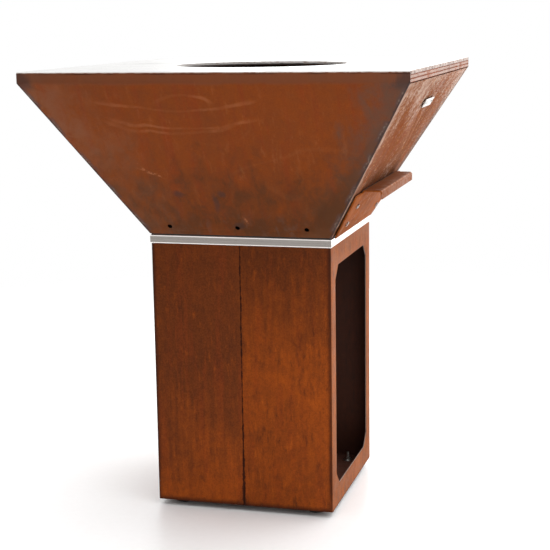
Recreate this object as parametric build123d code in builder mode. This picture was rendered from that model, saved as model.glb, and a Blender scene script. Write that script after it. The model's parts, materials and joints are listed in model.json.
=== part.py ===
"""Square wood-fired grill of weathering steel.

An inverted-pyramid fire bowl with a flat cooking plate stands on a bright steel spacer
frame and a square wood store. An ash drawer slides out of the bowl to the right.
Millimetres, +Z up, front towards -Y, origin on the floor under the middle.
"""

import os
from math import hypot, sqrt

from build123d import *

os.makedirs("parts", exist_ok=True)

# Wood store, a square pedestal of two folded shells
pedestal_width = 422.0
pedestal_height = 613.0
pedestal_sheet = 3.0
pedestal_inner_bend = 1.5
seam_gap = 1.2
seam_strap_width = 44.0
seam_strap_thickness = 3.0
store_side_margin = 43.0
store_sill = 49.0
store_head_margin = 48.0
store_corner_cut = 30.0

# Levelling feet
foot_gap = 14.0
foot_inset = 48.0
foot_pad_diameter = 42.0
foot_pad_shoulder = 24.0
foot_pad_height = 8.0
foot_pad_rim = 4.5
foot_pad_edge = 1.5
foot_stud_diameter = 8.0
foot_stud_length = 36.0
foot_stud_seat = 5.0
foot_stud_chamfer = 1.0
foot_nut_flats = 13.0
foot_nut_height = 6.5
foot_washer_diameter = 24.0
foot_washer_thickness = 2.0

# Spacer frame of square tube between store and bowl
spacer_height = 20.0
spacer_bar_width = 20.0
spacer_wall = 2.0
spacer_overhang = 1.5
spacer_edge_radius = 3.0

# Fire bowl
top_width = 850.0
bowl_height = 350.0
bowl_sheet = 3.0
bowl_inner_bend = 1.5
bowl_base_overhang = 1.5
bowl_base_sheet = 3.0
bowl_base_recess = 2.5
air_hole_diameter = 11.0
air_hole_spacing = 160.0
air_hole_rise = 22.0
bowl_bolt_diameter = 6.0
bowl_bolt_spacing = 220.0
bowl_bolt_inset = 6.5
bowl_bolt_flats = 10.0
bowl_bolt_head = 4.0
bowl_nut_height = 5.0
bowl_bolt_tail = 3.0
bowl_washer_diameter = 12.0
bowl_washer_thickness = 1.6

# Rim and cooking plate
rim_layer = 8.0
rim_bar_width = 50.0
rim_groove = 0.8
rim_bend_relief = 2.0
wall_top_gap = 2.0
plate_thickness = 8.0
plate_proud = 2.0
plate_opening_diameter = 400.0
plate_edge_radius = 1.0

# Ash drawer
wall_leg = 37.5
tray_sheet = 2.5
tray_height = 82.0
tray_side_room = 25.0
tray_back_room = 42.5
rail_height = 8.0
rail_width = 24.0
rail_guide_height = 14.0
rail_guide_thickness = 4.0
rail_end_room = 4.0
drawer_opening_room = 8.0
flange_lap = 11.0
flange_rise = 5.0
drawer_sheet = 4.0
drawer_margin = 18.0
drawer_bolt_offset = 14.0
drawer_bolt_low = 35.0
drawer_bolt_pitch = 47.0
drawer_bolt_diameter = 6.0
drawer_bolt_head_diameter = 13.0
drawer_bolt_head = 3.5
drawer_bolt_dome = 2.5
drawer_nut_flats = 10.0
drawer_nut_height = 5.0
drawer_bolt_tail = 2.0
shelf_rise = 7.5
shelf_reach = 40.0
shelf_inset = 6.5
shelf_lip = 20.0
shelf_inner_bend = 2.0

# Fire floor and grate
fire_floor_room = 11.0
fire_floor_sheet = 3.0
grate_thickness = 9.0
grate_ledge = 14.0
grate_border = 24.0
grate_slot_width = 12.0
grate_slot_pitch = 22.0
grate_edge = 1.0

# Bare badge on the right wall
badge_length = 112.0
badge_height = 22.0
badge_sheet = 2.0
badge_corner = 2.0
badge_drop = 72.0
badge_stand_off = 3.0
badge_rivet_spacing = 90.0
badge_rivet_diameter = 4.0
badge_rivet_head = 1.2
badge_rivet_head_diameter = 7.0
badge_spacer_diameter = 9.0

# Clearances
weld_gap = 0.2
seat_clearance = 0.3
frame_fit = 0.3
plate_clearance = 1.0
hole_clearance = 0.3
thread_clearance = 0.3
rail_clearance = 1.0
drawer_stop_gap = 0.5
grate_fit = 2.0
grate_lift_clearance = 16.0

# Levels, from the floor up
pedestal_bottom = foot_gap
pedestal_top = pedestal_bottom + pedestal_height
floor_top = pedestal_bottom + pedestal_sheet
store_ceiling = pedestal_top - pedestal_sheet
spacer_top = pedestal_top + spacer_height
wall_bottom = spacer_top + bowl_base_sheet
wall_top = wall_bottom + bowl_height
seat_level = wall_top + 2 * rim_layer
plate_top = seat_level + plate_thickness
flange_top = plate_top - plate_proud
tray_bottom = wall_bottom + rail_height
tray_top = tray_bottom + tray_height
drawer_opening_top = tray_top + drawer_opening_room
shelf_top = drawer_opening_top + shelf_rise
fire_floor_bottom = drawer_opening_top + fire_floor_room
fire_floor_top = fire_floor_bottom + fire_floor_sheet

# Half widths
pedestal_half = pedestal_width / 2
inside_half = pedestal_half - pedestal_sheet - weld_gap
foot_place = pedestal_half - foot_inset
spacer_half = pedestal_half + spacer_overhang
spacer_inner_half = spacer_half - spacer_bar_width
base_half = pedestal_half + bowl_base_overhang
top_half = top_width / 2
opening_half = base_half - wall_leg
tray_half = opening_half - tray_side_room
flange_half = opening_half + flange_lap
drawer_bolt_place = tray_half + drawer_bolt_offset
bowl_bolt_place = spacer_inner_half + bowl_bolt_inset

# Slope of the bowl walls
wall_run = top_half - base_half
wall_length = hypot(wall_run, bowl_height)
wall_cos = bowl_height / wall_length
wall_sin = wall_run / wall_length
wall_slope = wall_run / bowl_height
wall_level_thickness = bowl_sheet / wall_cos


def outer_half(level):
    """Half width of the bowl's outer faces at a level."""
    return base_half + wall_slope * (level - wall_bottom)


# Planes on the outer wall faces: local X along the wall, local Y up its slope, Z outwards
front_face = Plane(origin=(0, -base_half, wall_bottom), x_dir=(1, 0, 0), z_dir=(0, -wall_cos, -wall_sin))
back_face = Plane(origin=(0, base_half, wall_bottom), x_dir=(-1, 0, 0), z_dir=(0, wall_cos, -wall_sin))
left_face = Plane(origin=(-base_half, 0, wall_bottom), x_dir=(0, -1, 0), z_dir=(-wall_cos, 0, -wall_sin))
right_face = Plane(origin=(base_half, 0, wall_bottom), x_dir=(0, 1, 0), z_dir=(wall_cos, 0, -wall_sin))

# Layers of the drawer front, outwards from the right wall
flange_face = right_face.offset(drawer_stop_gap)
panel_face = flange_face.offset(tray_sheet)
drawer_face = panel_face.offset(drawer_sheet)

# Pedestal shells: each is a folded channel, and the two meet in the middle of front and back
with BuildPart() as shell_blank:
    with BuildSketch(Plane.XY.offset(pedestal_bottom)):
        with BuildLine():
            FilletPolyline(
                (seam_gap / 2, -pedestal_half),
                (pedestal_half, -pedestal_half),
                (pedestal_half, pedestal_half),
                (seam_gap / 2, pedestal_half),
                radius=pedestal_inner_bend + pedestal_sheet,
            )
            offset(amount=pedestal_sheet, side=Side.LEFT)
        make_face()
    extrude(amount=pedestal_height)

with BuildPart() as pedestal_left_shell:
    mirror(shell_blank.part, about=Plane.YZ)
pedestal_left_shell.part.label = "pedestal_left_shell"
export_step(pedestal_left_shell.part, "parts/pedestal_left_shell.step")

store_width = pedestal_width - 2 * store_side_margin
store_opening_height = pedestal_height - store_sill - store_head_margin
with BuildPart() as pedestal_right_shell:
    add(shell_blank.part)
    with BuildSketch(Plane.YZ.offset(pedestal_half - 2 * pedestal_sheet)):
        with Locations((0, pedestal_bottom + store_sill)):
            Rectangle(store_width, store_opening_height, align=(Align.CENTER, Align.MIN))
        chamfer(vertices(), length=store_corner_cut)
    extrude(amount=3 * pedestal_sheet, mode=Mode.SUBTRACT)
pedestal_right_shell.part.label = "pedestal_right_shell"
export_step(pedestal_right_shell.part, "parts/pedestal_right_shell.step")

# Straps that join the two shells behind the seams
with BuildPart() as seam_strap_front:
    with BuildSketch(Plane.XY.offset(floor_top)):
        with Locations((0, -inside_half)):
            Rectangle(seam_strap_width, seam_strap_thickness, align=(Align.CENTER, Align.MIN))
    extrude(amount=store_ceiling - floor_top)
seam_strap_front.part.label = "seam_strap_front"
export_step(seam_strap_front.part, "parts/seam_strap_front.step")

with BuildPart() as seam_strap_back:
    mirror(seam_strap_front.part, about=Plane.XZ)
seam_strap_back.part.label = "seam_strap_back"
export_step(seam_strap_back.part, "parts/seam_strap_back.step")

# Floor of the wood store, with the holes for the foot studs
foot_pitch = 2 * foot_place
stud_hole_radius = foot_stud_diameter / 2 + thread_clearance
with BuildPart() as pedestal_floor:
    with BuildSketch(Plane.XY.offset(pedestal_bottom)):
        Rectangle(2 * inside_half, 2 * inside_half)
        fillet(vertices(), radius=pedestal_inner_bend + weld_gap)
        with GridLocations(foot_pitch, foot_pitch, 2, 2):
            Circle(stud_hole_radius, mode=Mode.SUBTRACT)
    extrude(amount=pedestal_sheet)
pedestal_floor.part.label = "pedestal_floor"
export_step(pedestal_floor.part, "parts/pedestal_floor.step")

# Ceiling of the wood store, which carries the spacer frame
bowl_hole_radius = bowl_bolt_diameter / 2 + hole_clearance
with BuildPart() as pedestal_top_plate:
    with BuildSketch(Plane.XY.offset(store_ceiling)):
        Rectangle(2 * inside_half, 2 * inside_half)
        fillet(vertices(), radius=pedestal_inner_bend + weld_gap)
        with GridLocations(bowl_bolt_spacing, 2 * bowl_bolt_place, 2, 2):
            Circle(bowl_hole_radius, mode=Mode.SUBTRACT)
    extrude(amount=pedestal_sheet)
pedestal_top_plate.part.label = "pedestal_top_plate"
export_step(pedestal_top_plate.part, "parts/pedestal_top_plate.step")

# Levelling feet: pad and stud move together, the nuts and washers stay with the floor
foot_names = {
    "front_left": (-1, -1),
    "front_right": (1, -1),
    "back_left": (-1, 1),
    "back_right": (1, 1),
}
pad_radius = foot_pad_diameter / 2
shoulder_radius = foot_pad_shoulder / 2
stud_radius = foot_stud_diameter / 2
stud_bottom = foot_pad_height - foot_stud_seat
for foot_name, (side_x, side_y) in foot_names.items():
    foot_x = side_x * foot_place
    foot_y = side_y * foot_place
    foot_axis = Axis((foot_x, foot_y, 0), (0, 0, 1))
    foot_section = Plane(origin=(foot_x, foot_y, 0), x_dir=(1, 0, 0), z_dir=(0, -1, 0))

    with BuildPart() as foot_pad:
        with BuildSketch(foot_section):
            with BuildLine():
                Polyline(
                    (0, 0),
                    (pad_radius - foot_pad_edge, 0),
                    (pad_radius, foot_pad_edge),
                    (pad_radius, foot_pad_rim),
                    (shoulder_radius, foot_pad_height),
                    (stud_radius, foot_pad_height),
                    (stud_radius, stud_bottom),
                    (0, stud_bottom),
                    close=True,
                )
            make_face()
        revolve(axis=foot_axis)
    foot_pad.part.label = f"foot_pad_{foot_name}"
    export_step(foot_pad.part, f"parts/foot_pad_{foot_name}.step")

    with BuildPart() as foot_stud:
        with BuildSketch(Plane(origin=(foot_x, foot_y, stud_bottom))):
            Circle(stud_radius)
        extrude(amount=foot_stud_length)
        chamfer(foot_stud.edges().group_by(Axis.Z)[-1], length=foot_stud_chamfer)
    foot_stud.part.label = f"foot_stud_{foot_name}"
    export_step(foot_stud.part, f"parts/foot_stud_{foot_name}.step")

nut_radius = foot_nut_flats / sqrt(3)
bearing_nut_bottom = foot_pad_height + seat_clearance
with BuildPart() as foot_bearing_nuts:
    with BuildSketch(Plane.XY.offset(bearing_nut_bottom)):
        with GridLocations(foot_pitch, foot_pitch, 2, 2):
            RegularPolygon(nut_radius, side_count=6)
            Circle(stud_hole_radius, mode=Mode.SUBTRACT)
    extrude(amount=pedestal_bottom - bearing_nut_bottom)
foot_bearing_nuts.part.label = "foot_bearing_nuts"
export_step(foot_bearing_nuts.part, "parts/foot_bearing_nuts.step")

with BuildPart() as foot_washers:
    with BuildSketch(Plane.XY.offset(floor_top)):
        with GridLocations(foot_pitch, foot_pitch, 2, 2):
            Circle(foot_washer_diameter / 2)
            Circle(stud_hole_radius, mode=Mode.SUBTRACT)
    extrude(amount=foot_washer_thickness)
foot_washers.part.label = "foot_washers"
export_step(foot_washers.part, "parts/foot_washers.step")

with BuildPart() as foot_lock_nuts:
    with BuildSketch(Plane.XY.offset(floor_top + foot_washer_thickness)):
        with GridLocations(foot_pitch, foot_pitch, 2, 2):
            RegularPolygon(nut_radius, side_count=6)
            Circle(stud_hole_radius, mode=Mode.SUBTRACT)
    extrude(amount=foot_nut_height)
foot_lock_nuts.part.label = "foot_lock_nuts"
export_step(foot_lock_nuts.part, "parts/foot_lock_nuts.step")

# Spacer frame: four mitred square tubes, the front and back ones drilled for the bowl bolts
spacer_turns = {"front": 0, "right": 90, "back": 180, "left": 270}
cavity_half = spacer_half - spacer_wall
cavity_inner_half = spacer_inner_half + spacer_wall
for bar_name, turn in spacer_turns.items():
    bar_plane = Plane.XY.offset(pedestal_top).rotated((0, 0, turn))
    with BuildPart() as spacer_bar:
        with BuildSketch(bar_plane):
            with BuildLine():
                Polyline(
                    (-spacer_half, -spacer_half),
                    (spacer_half, -spacer_half),
                    (spacer_inner_half, -spacer_inner_half),
                    (-spacer_inner_half, -spacer_inner_half),
                    close=True,
                )
            make_face()
        extrude(amount=spacer_height)
        fillet(spacer_bar.edges().sort_by(SortBy.LENGTH)[-2:], radius=spacer_edge_radius)
        with BuildSketch(bar_plane.offset(spacer_wall)):
            with BuildLine():
                Polyline(
                    (-cavity_half, -cavity_half),
                    (cavity_half, -cavity_half),
                    (cavity_inner_half, -cavity_inner_half),
                    (-cavity_inner_half, -cavity_inner_half),
                    close=True,
                )
            make_face()
        extrude(amount=spacer_height - 2 * spacer_wall, mode=Mode.SUBTRACT)
        if bar_name in ("front", "back"):
            with BuildSketch(bar_plane):
                with Locations((0, -bowl_bolt_place)):
                    with GridLocations(bowl_bolt_spacing, 0, 2, 1):
                        Circle(bowl_hole_radius)
            extrude(amount=spacer_height, mode=Mode.SUBTRACT)
    spacer_bar.part.label = f"spacer_bar_{bar_name}"
    export_step(spacer_bar.part, f"parts/spacer_bar_{bar_name}.step")

# Base plate of the bowl
with BuildPart() as bowl_base_plate:
    with BuildSketch(Plane.XY.offset(spacer_top)):
        Rectangle(2 * (base_half - bowl_base_recess), 2 * (base_half - bowl_base_recess))
        with GridLocations(bowl_bolt_spacing, 2 * bowl_bolt_place, 2, 2):
            Circle(bowl_hole_radius, mode=Mode.SUBTRACT)
    extrude(amount=bowl_base_sheet)
bowl_base_plate.part.label = "bowl_base_plate"
export_step(bowl_base_plate.part, "parts/bowl_base_plate.step")

# Bolts that clamp bowl, spacer frame and pedestal together
with BuildPart() as bowl_washers:
    with BuildSketch(Plane.XY.offset(wall_bottom)):
        with GridLocations(bowl_bolt_spacing, 2 * bowl_bolt_place, 2, 2):
            Circle(bowl_washer_diameter / 2)
            Circle(bowl_hole_radius, mode=Mode.SUBTRACT)
    extrude(amount=bowl_washer_thickness)
bowl_washers.part.label = "bowl_washers"
export_step(bowl_washers.part, "parts/bowl_washers.step")

bolt_head_bottom = wall_bottom + bowl_washer_thickness
bolt_end = store_ceiling - bowl_nut_height - bowl_bolt_tail
with BuildPart() as bowl_bolts:
    with BuildSketch(Plane.XY.offset(bolt_head_bottom)):
        with GridLocations(bowl_bolt_spacing, 2 * bowl_bolt_place, 2, 2):
            RegularPolygon(bowl_bolt_flats / sqrt(3), side_count=6)
    extrude(amount=bowl_bolt_head)
    with BuildSketch(Plane.XY.offset(bolt_end)):
        with GridLocations(bowl_bolt_spacing, 2 * bowl_bolt_place, 2, 2):
            Circle(bowl_bolt_diameter / 2)
    extrude(amount=bolt_head_bottom - bolt_end)
bowl_bolts.part.label = "bowl_bolts"
export_step(bowl_bolts.part, "parts/bowl_bolts.step")

with BuildPart() as bowl_nuts:
    with BuildSketch(Plane.XY.offset(store_ceiling - bowl_nut_height)):
        with GridLocations(bowl_bolt_spacing, 2 * bowl_bolt_place, 2, 2):
            RegularPolygon(bowl_bolt_flats / sqrt(3), side_count=6)
            Circle(bowl_hole_radius, mode=Mode.SUBTRACT)
    extrude(amount=bowl_nut_height)
bowl_nuts.part.label = "bowl_nuts"
export_step(bowl_nuts.part, "parts/bowl_nuts.step")

# Front and back walls: slanted sheet folded upright at the rim, full width to the corners
fold_start = spacer_top
with BuildPart() as bowl_front_wall:
    with BuildSketch(Plane.YZ):
        with BuildLine():
            FilletPolyline(
                (-outer_half(fold_start), fold_start),
                (-top_half, wall_top),
                (-top_half, flange_top),
                radius=bowl_inner_bend + bowl_sheet,
            )
            offset(amount=bowl_sheet, side=Side.RIGHT)
        make_face()
    extrude(amount=top_half, both=True)
    split(bisect_by=Plane.XY.offset(wall_bottom), keep=Keep.TOP)
    split(bisect_by=right_face, keep=Keep.BOTTOM)
    split(bisect_by=left_face, keep=Keep.BOTTOM)
    with BuildSketch(front_face):
        with Locations((0, air_hole_rise)):
            with GridLocations(air_hole_spacing, 0, 3, 1):
                Circle(air_hole_diameter / 2)
    extrude(amount=-2 * bowl_sheet, mode=Mode.SUBTRACT)
bowl_front_wall.part.label = "bowl_front_wall"
export_step(bowl_front_wall.part, "parts/bowl_front_wall.step")

with BuildPart() as bowl_back_wall:
    mirror(bowl_front_wall.part, about=Plane.XZ)
bowl_back_wall.part.label = "bowl_back_wall"
export_step(bowl_back_wall.part, "parts/bowl_back_wall.step")

# Side walls: flat sheets between the front and back walls, ending just under the rim frame
side_top = wall_top - wall_top_gap
with BuildPart() as side_wall_blank:
    with BuildSketch(Plane.XZ):
        with BuildLine():
            Polyline(
                (base_half, wall_bottom),
                (outer_half(side_top), side_top),
                (outer_half(side_top) - wall_level_thickness, side_top),
                (base_half - wall_level_thickness, wall_bottom),
                close=True,
            )
        make_face()
    extrude(amount=top_half, both=True)
    split(bisect_by=front_face.offset(-bowl_sheet - weld_gap), keep=Keep.BOTTOM)
    split(bisect_by=back_face.offset(-bowl_sheet - weld_gap), keep=Keep.BOTTOM)

with BuildPart() as bowl_left_wall:
    mirror(side_wall_blank.part, about=Plane.YZ)
    with BuildSketch(left_face):
        with Locations((0, air_hole_rise)):
            with GridLocations(air_hole_spacing, 0, 3, 1):
                Circle(air_hole_diameter / 2)
    extrude(amount=-2 * bowl_sheet, mode=Mode.SUBTRACT)
bowl_left_wall.part.label = "bowl_left_wall"
export_step(bowl_left_wall.part, "parts/bowl_left_wall.step")

badge_centre = wall_length - badge_drop
rivet_hole_radius = badge_rivet_diameter / 2 + hole_clearance
with BuildPart() as bowl_right_wall:
    add(side_wall_blank.part)
    with BuildSketch(Plane.YZ):
        with Locations((0, spacer_top)):
            Rectangle(2 * opening_half, drawer_opening_top - spacer_top, align=(Align.CENTER, Align.MIN))
    extrude(amount=top_half, mode=Mode.SUBTRACT)
    with BuildSketch(right_face):
        with Locations((0, badge_centre)):
            with GridLocations(badge_rivet_spacing, 0, 2, 1):
                Circle(rivet_hole_radius)
    extrude(amount=-2 * bowl_sheet, mode=Mode.SUBTRACT)
bowl_right_wall.part.label = "bowl_right_wall"
export_step(bowl_right_wall.part, "parts/bowl_right_wall.step")

# Rim: two flat frames stacked on the walls between the upright folds of front and back
frame_depth = 2 * (top_half - bowl_sheet - frame_fit)
with BuildPart() as rim_frame:
    with BuildSketch(Plane.XY.offset(wall_top)):
        Rectangle(top_width, frame_depth)
        Rectangle(top_width - 2 * rim_bar_width, frame_depth - 2 * rim_bar_width, mode=Mode.SUBTRACT)
    extrude(amount=rim_layer)
    lower_edges = rim_frame.edges().group_by(Axis.Z)[0].filter_by(Axis.X)
    chamfer(lower_edges.group_by(Axis.Y)[0] + lower_edges.group_by(Axis.Y)[-1], length=rim_bend_relief)
    side_edges = rim_frame.edges().filter_by(Axis.Y).group_by(Axis.X)
    chamfer(side_edges[0] + side_edges[-1], length=rim_groove)
rim_frame.part.label = "rim_frame"
export_step(rim_frame.part, "parts/rim_frame.step")

with BuildPart() as plate_seat_frame:
    with BuildSketch(Plane.XY.offset(wall_top + rim_layer)):
        Rectangle(top_width, frame_depth)
        Rectangle(top_width - 2 * rim_bar_width, frame_depth - 2 * rim_bar_width, mode=Mode.SUBTRACT)
    extrude(amount=rim_layer)
    side_edges = plate_seat_frame.edges().filter_by(Axis.Y).group_by(Axis.X)
    chamfer(side_edges[0] + side_edges[-1], length=rim_groove)
plate_seat_frame.part.label = "plate_seat_frame"
export_step(plate_seat_frame.part, "parts/plate_seat_frame.step")

# Cooking plate with its round fire opening, loose between the upright folds
plate_depth = 2 * (top_half - bowl_sheet - plate_clearance)
with BuildPart() as cooking_plate:
    with BuildSketch(Plane.XY.offset(seat_level)):
        Rectangle(top_width, plate_depth)
        Circle(plate_opening_diameter / 2, mode=Mode.SUBTRACT)
    extrude(amount=plate_thickness)
    fillet(cooking_plate.edges().group_by(Axis.Z)[-1], radius=plate_edge_radius)
    lower_sides = cooking_plate.edges().group_by(Axis.Z)[0].filter_by(Axis.Y)
    chamfer(lower_sides, length=rim_groove)
cooking_plate.part.label = "cooking_plate"
export_step(cooking_plate.part, "parts/cooking_plate.step")

# Fire floor across the bowl, with a square hole that holds the grate
grate_width = (plate_opening_diameter - 2 * grate_lift_clearance) / sqrt(2)
grate_step_width = grate_width - 2 * grate_ledge
floor_half = outer_half(fire_floor_bottom) - wall_level_thickness - seat_clearance
with BuildPart() as fire_floor:
    with BuildSketch(Plane.XY.offset(fire_floor_bottom)):
        Rectangle(2 * floor_half, 2 * floor_half)
        Rectangle(grate_step_width + 2 * grate_fit, grate_step_width + 2 * grate_fit, mode=Mode.SUBTRACT)
    extrude(amount=fire_floor_sheet)
fire_floor.part.label = "fire_floor"
export_step(fire_floor.part, "parts/fire_floor.step")

# Cast grate: a slotted plate whose lower step drops into the fire floor
slot_length = grate_width - 2 * grate_border
slot_count = int((slot_length - grate_slot_width) / grate_slot_pitch) + 1
with BuildPart() as fire_grate:
    with BuildSketch(Plane.XY.offset(fire_floor_bottom)):
        Rectangle(grate_step_width, grate_step_width)
    extrude(amount=fire_floor_sheet)
    with BuildSketch(Plane.XY.offset(fire_floor_top)):
        Rectangle(grate_width, grate_width)
    extrude(amount=grate_thickness)
    chamfer(fire_grate.edges().group_by(Axis.Z)[-1], length=grate_edge)
    with BuildSketch(Plane.XY.offset(fire_floor_bottom)):
        with GridLocations(grate_slot_pitch, 0, slot_count, 1):
            SlotOverall(slot_length, grate_slot_width, rotation=90)
    extrude(amount=fire_floor_sheet + grate_thickness, mode=Mode.SUBTRACT)
fire_grate.part.label = "fire_grate"
export_step(fire_grate.part, "parts/fire_grate.step")

# Rails for the ash drawer on the base plate, each with a guide beside the tray
rail_half_length = base_half - wall_level_thickness - rail_end_room
rail_outer = tray_half + rail_clearance + rail_guide_thickness
rail_section = Plane.YZ.offset(-rail_half_length)
with BuildPart() as drawer_rail_back:
    with BuildSketch(rail_section):
        with BuildLine():
            Polyline(
                (rail_outer - rail_width, wall_bottom),
                (rail_outer, wall_bottom),
                (rail_outer, tray_bottom + rail_guide_height),
                (tray_half + rail_clearance, tray_bottom + rail_guide_height),
                (tray_half + rail_clearance, tray_bottom),
                (rail_outer - rail_width, tray_bottom),
                close=True,
            )
        make_face()
    extrude(amount=2 * rail_half_length)
drawer_rail_back.part.label = "drawer_rail_back"
export_step(drawer_rail_back.part, "parts/drawer_rail_back.step")

with BuildPart() as drawer_rail_front:
    mirror(drawer_rail_back.part, about=Plane.XZ)
drawer_rail_front.part.label = "drawer_rail_front"
export_step(drawer_rail_front.part, "parts/drawer_rail_front.step")

# Ash tray: an open box whose front end follows the slope, with a flange outside the wall
tray_back = -(base_half - tray_back_room)
tray_reach = outer_half(tray_top) - tray_back + shelf_reach
flange_low = flange_rise / wall_cos
flange_high = (drawer_opening_top - wall_bottom + flange_rise) / wall_cos
drawer_hole_radius = drawer_bolt_diameter / 2 + hole_clearance
drawer_bolt_middle = drawer_bolt_low + drawer_bolt_pitch / 2
with BuildPart() as drawer_tray:
    with BuildSketch(Plane.XY.offset(tray_bottom)):
        with Locations((tray_back, 0)):
            Rectangle(tray_reach, 2 * tray_half, align=(Align.MIN, Align.CENTER))
    extrude(amount=tray_height)
    with BuildSketch(Plane.XY.offset(tray_bottom + tray_sheet)):
        with Locations((tray_back + tray_sheet, 0)):
            Rectangle(tray_reach, 2 * (tray_half - tray_sheet), align=(Align.MIN, Align.CENTER))
    extrude(amount=tray_height, mode=Mode.SUBTRACT)
    split(bisect_by=flange_face, keep=Keep.BOTTOM)
    with BuildSketch(flange_face):
        with Locations((0, flange_low)):
            Rectangle(2 * flange_half, flange_high - flange_low, align=(Align.CENTER, Align.MIN))
        with Locations((0, drawer_bolt_middle)):
            with GridLocations(2 * drawer_bolt_place, drawer_bolt_pitch, 2, 2):
                Circle(drawer_hole_radius, mode=Mode.SUBTRACT)
    extrude(amount=tray_sheet)
drawer_tray.part.label = "drawer_tray"
export_step(drawer_tray.part, "parts/drawer_tray.step")

# Drawer front: a tapered panel whose top is folded out to a shelf with a lip, as a handle
drawer_stand_off = drawer_stop_gap + tray_sheet + drawer_sheet
shelf_under = shelf_top - drawer_sheet
fold_height = (shelf_under - wall_bottom + wall_sin * drawer_stand_off) / wall_cos
panel_height = fold_height - drawer_sheet
fold_x = base_half + wall_sin * fold_height + wall_cos * drawer_stand_off
strip_low_x = fold_x - wall_sin * panel_height
strip_low_z = shelf_under - wall_cos * panel_height
lip_x = fold_x + shelf_reach - drawer_sheet
panel_low_half = base_half - drawer_margin
panel_high_half = panel_low_half + wall_sin * panel_height
shelf_half = panel_low_half - shelf_inset
with BuildPart() as drawer_front:
    with BuildSketch(panel_face):
        with BuildLine():
            Polyline(
                (-panel_low_half, 0),
                (panel_low_half, 0),
                (panel_high_half, panel_height),
                (-panel_high_half, panel_height),
                close=True,
            )
        make_face()
    extrude(amount=drawer_sheet)
    with BuildSketch(Plane.XZ):
        with BuildLine():
            FilletPolyline(
                (strip_low_x, strip_low_z),
                (fold_x, shelf_under),
                (lip_x, shelf_under),
                (lip_x, shelf_top - shelf_lip),
                radius=shelf_inner_bend,
            )
            offset(amount=drawer_sheet, side=Side.LEFT)
        make_face()
    extrude(amount=shelf_half, both=True)
    with BuildSketch(panel_face):
        with Locations((0, drawer_bolt_middle)):
            with GridLocations(2 * drawer_bolt_place, drawer_bolt_pitch, 2, 2):
                Circle(drawer_hole_radius)
    extrude(amount=drawer_sheet, mode=Mode.SUBTRACT)
drawer_front.part.label = "drawer_front"
export_step(drawer_front.part, "parts/drawer_front.step")

# Round-head bolts and nuts that clamp the drawer front to the tray flange
shank_length = drawer_sheet + tray_sheet + drawer_nut_height + drawer_bolt_tail
bolt_axis = Axis(drawer_face.origin, drawer_face.z_dir)
with BuildPart() as drawer_bolts:
    with BuildSketch(drawer_face):
        with Locations((0, drawer_bolt_middle)):
            with GridLocations(2 * drawer_bolt_place, drawer_bolt_pitch, 2, 2):
                Circle(drawer_bolt_head_diameter / 2)
    extrude(amount=drawer_bolt_head)
    fillet(drawer_bolts.edges().sort_by(bolt_axis)[-4:], radius=drawer_bolt_dome)
    with BuildSketch(drawer_face):
        with Locations((0, drawer_bolt_middle)):
            with GridLocations(2 * drawer_bolt_place, drawer_bolt_pitch, 2, 2):
                Circle(drawer_bolt_diameter / 2)
    extrude(amount=-shank_length)
drawer_bolts.part.label = "drawer_bolts"
export_step(drawer_bolts.part, "parts/drawer_bolts.step")

with BuildPart() as drawer_nuts:
    with BuildSketch(flange_face):
        with Locations((0, drawer_bolt_middle)):
            with GridLocations(2 * drawer_bolt_place, drawer_bolt_pitch, 2, 2):
                RegularPolygon(drawer_nut_flats / sqrt(3), side_count=6)
                Circle(drawer_hole_radius, mode=Mode.SUBTRACT)
    extrude(amount=-drawer_nut_height)
drawer_nuts.part.label = "drawer_nuts"
export_step(drawer_nuts.part, "parts/drawer_nuts.step")

# Bare badge plate, held off the right wall by two spacers and rivets
badge_face = right_face.offset(badge_stand_off)
with BuildPart() as badge_plate:
    with BuildSketch(badge_face):
        with Locations((0, badge_centre)):
            RectangleRounded(badge_length, badge_height, badge_corner)
            with GridLocations(badge_rivet_spacing, 0, 2, 1):
                Circle(rivet_hole_radius, mode=Mode.SUBTRACT)
    extrude(amount=badge_sheet)
badge_plate.part.label = "badge_plate"
export_step(badge_plate.part, "parts/badge_plate.step")

with BuildPart() as badge_spacers:
    with BuildSketch(right_face):
        with Locations((0, badge_centre)):
            with GridLocations(badge_rivet_spacing, 0, 2, 1):
                Circle(badge_spacer_diameter / 2)
                Circle(rivet_hole_radius, mode=Mode.SUBTRACT)
    extrude(amount=badge_stand_off)
badge_spacers.part.label = "badge_spacers"
export_step(badge_spacers.part, "parts/badge_spacers.step")

rivet_grip = badge_sheet + badge_stand_off + bowl_sheet
with BuildPart() as badge_rivets:
    with BuildSketch(badge_face.offset(badge_sheet)):
        with Locations((0, badge_centre)):
            with GridLocations(badge_rivet_spacing, 0, 2, 1):
                Circle(badge_rivet_head_diameter / 2)
    extrude(amount=badge_rivet_head)
    with BuildSketch(badge_face.offset(badge_sheet)):
        with Locations((0, badge_centre)):
            with GridLocations(badge_rivet_spacing, 0, 2, 1):
                Circle(badge_rivet_diameter / 2)
    extrude(amount=-rivet_grip)
    with BuildSketch(right_face.offset(-bowl_sheet)):
        with Locations((0, badge_centre)):
            with GridLocations(badge_rivet_spacing, 0, 2, 1):
                Circle(badge_rivet_head_diameter / 2)
    extrude(amount=-badge_rivet_head)
badge_rivets.part.label = "badge_rivets"
export_step(badge_rivets.part, "parts/badge_rivets.step")
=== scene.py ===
"""Looks of a square wood-fired grill of weathering steel, laid out as an add-on.

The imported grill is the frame. Sheets get softened edges, fasteners, feet and welds are
modelled in full, every surface gets a procedural finish, and a pale studio surrounds it.
Metres, +Z up, front towards -Y.
"""

import json
import math
from contextlib import contextmanager
from types import SimpleNamespace

import bmesh
import bpy
from bpy.props import FloatProperty, FloatVectorProperty, IntProperty, PointerProperty
from mathutils import Matrix, Vector


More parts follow.
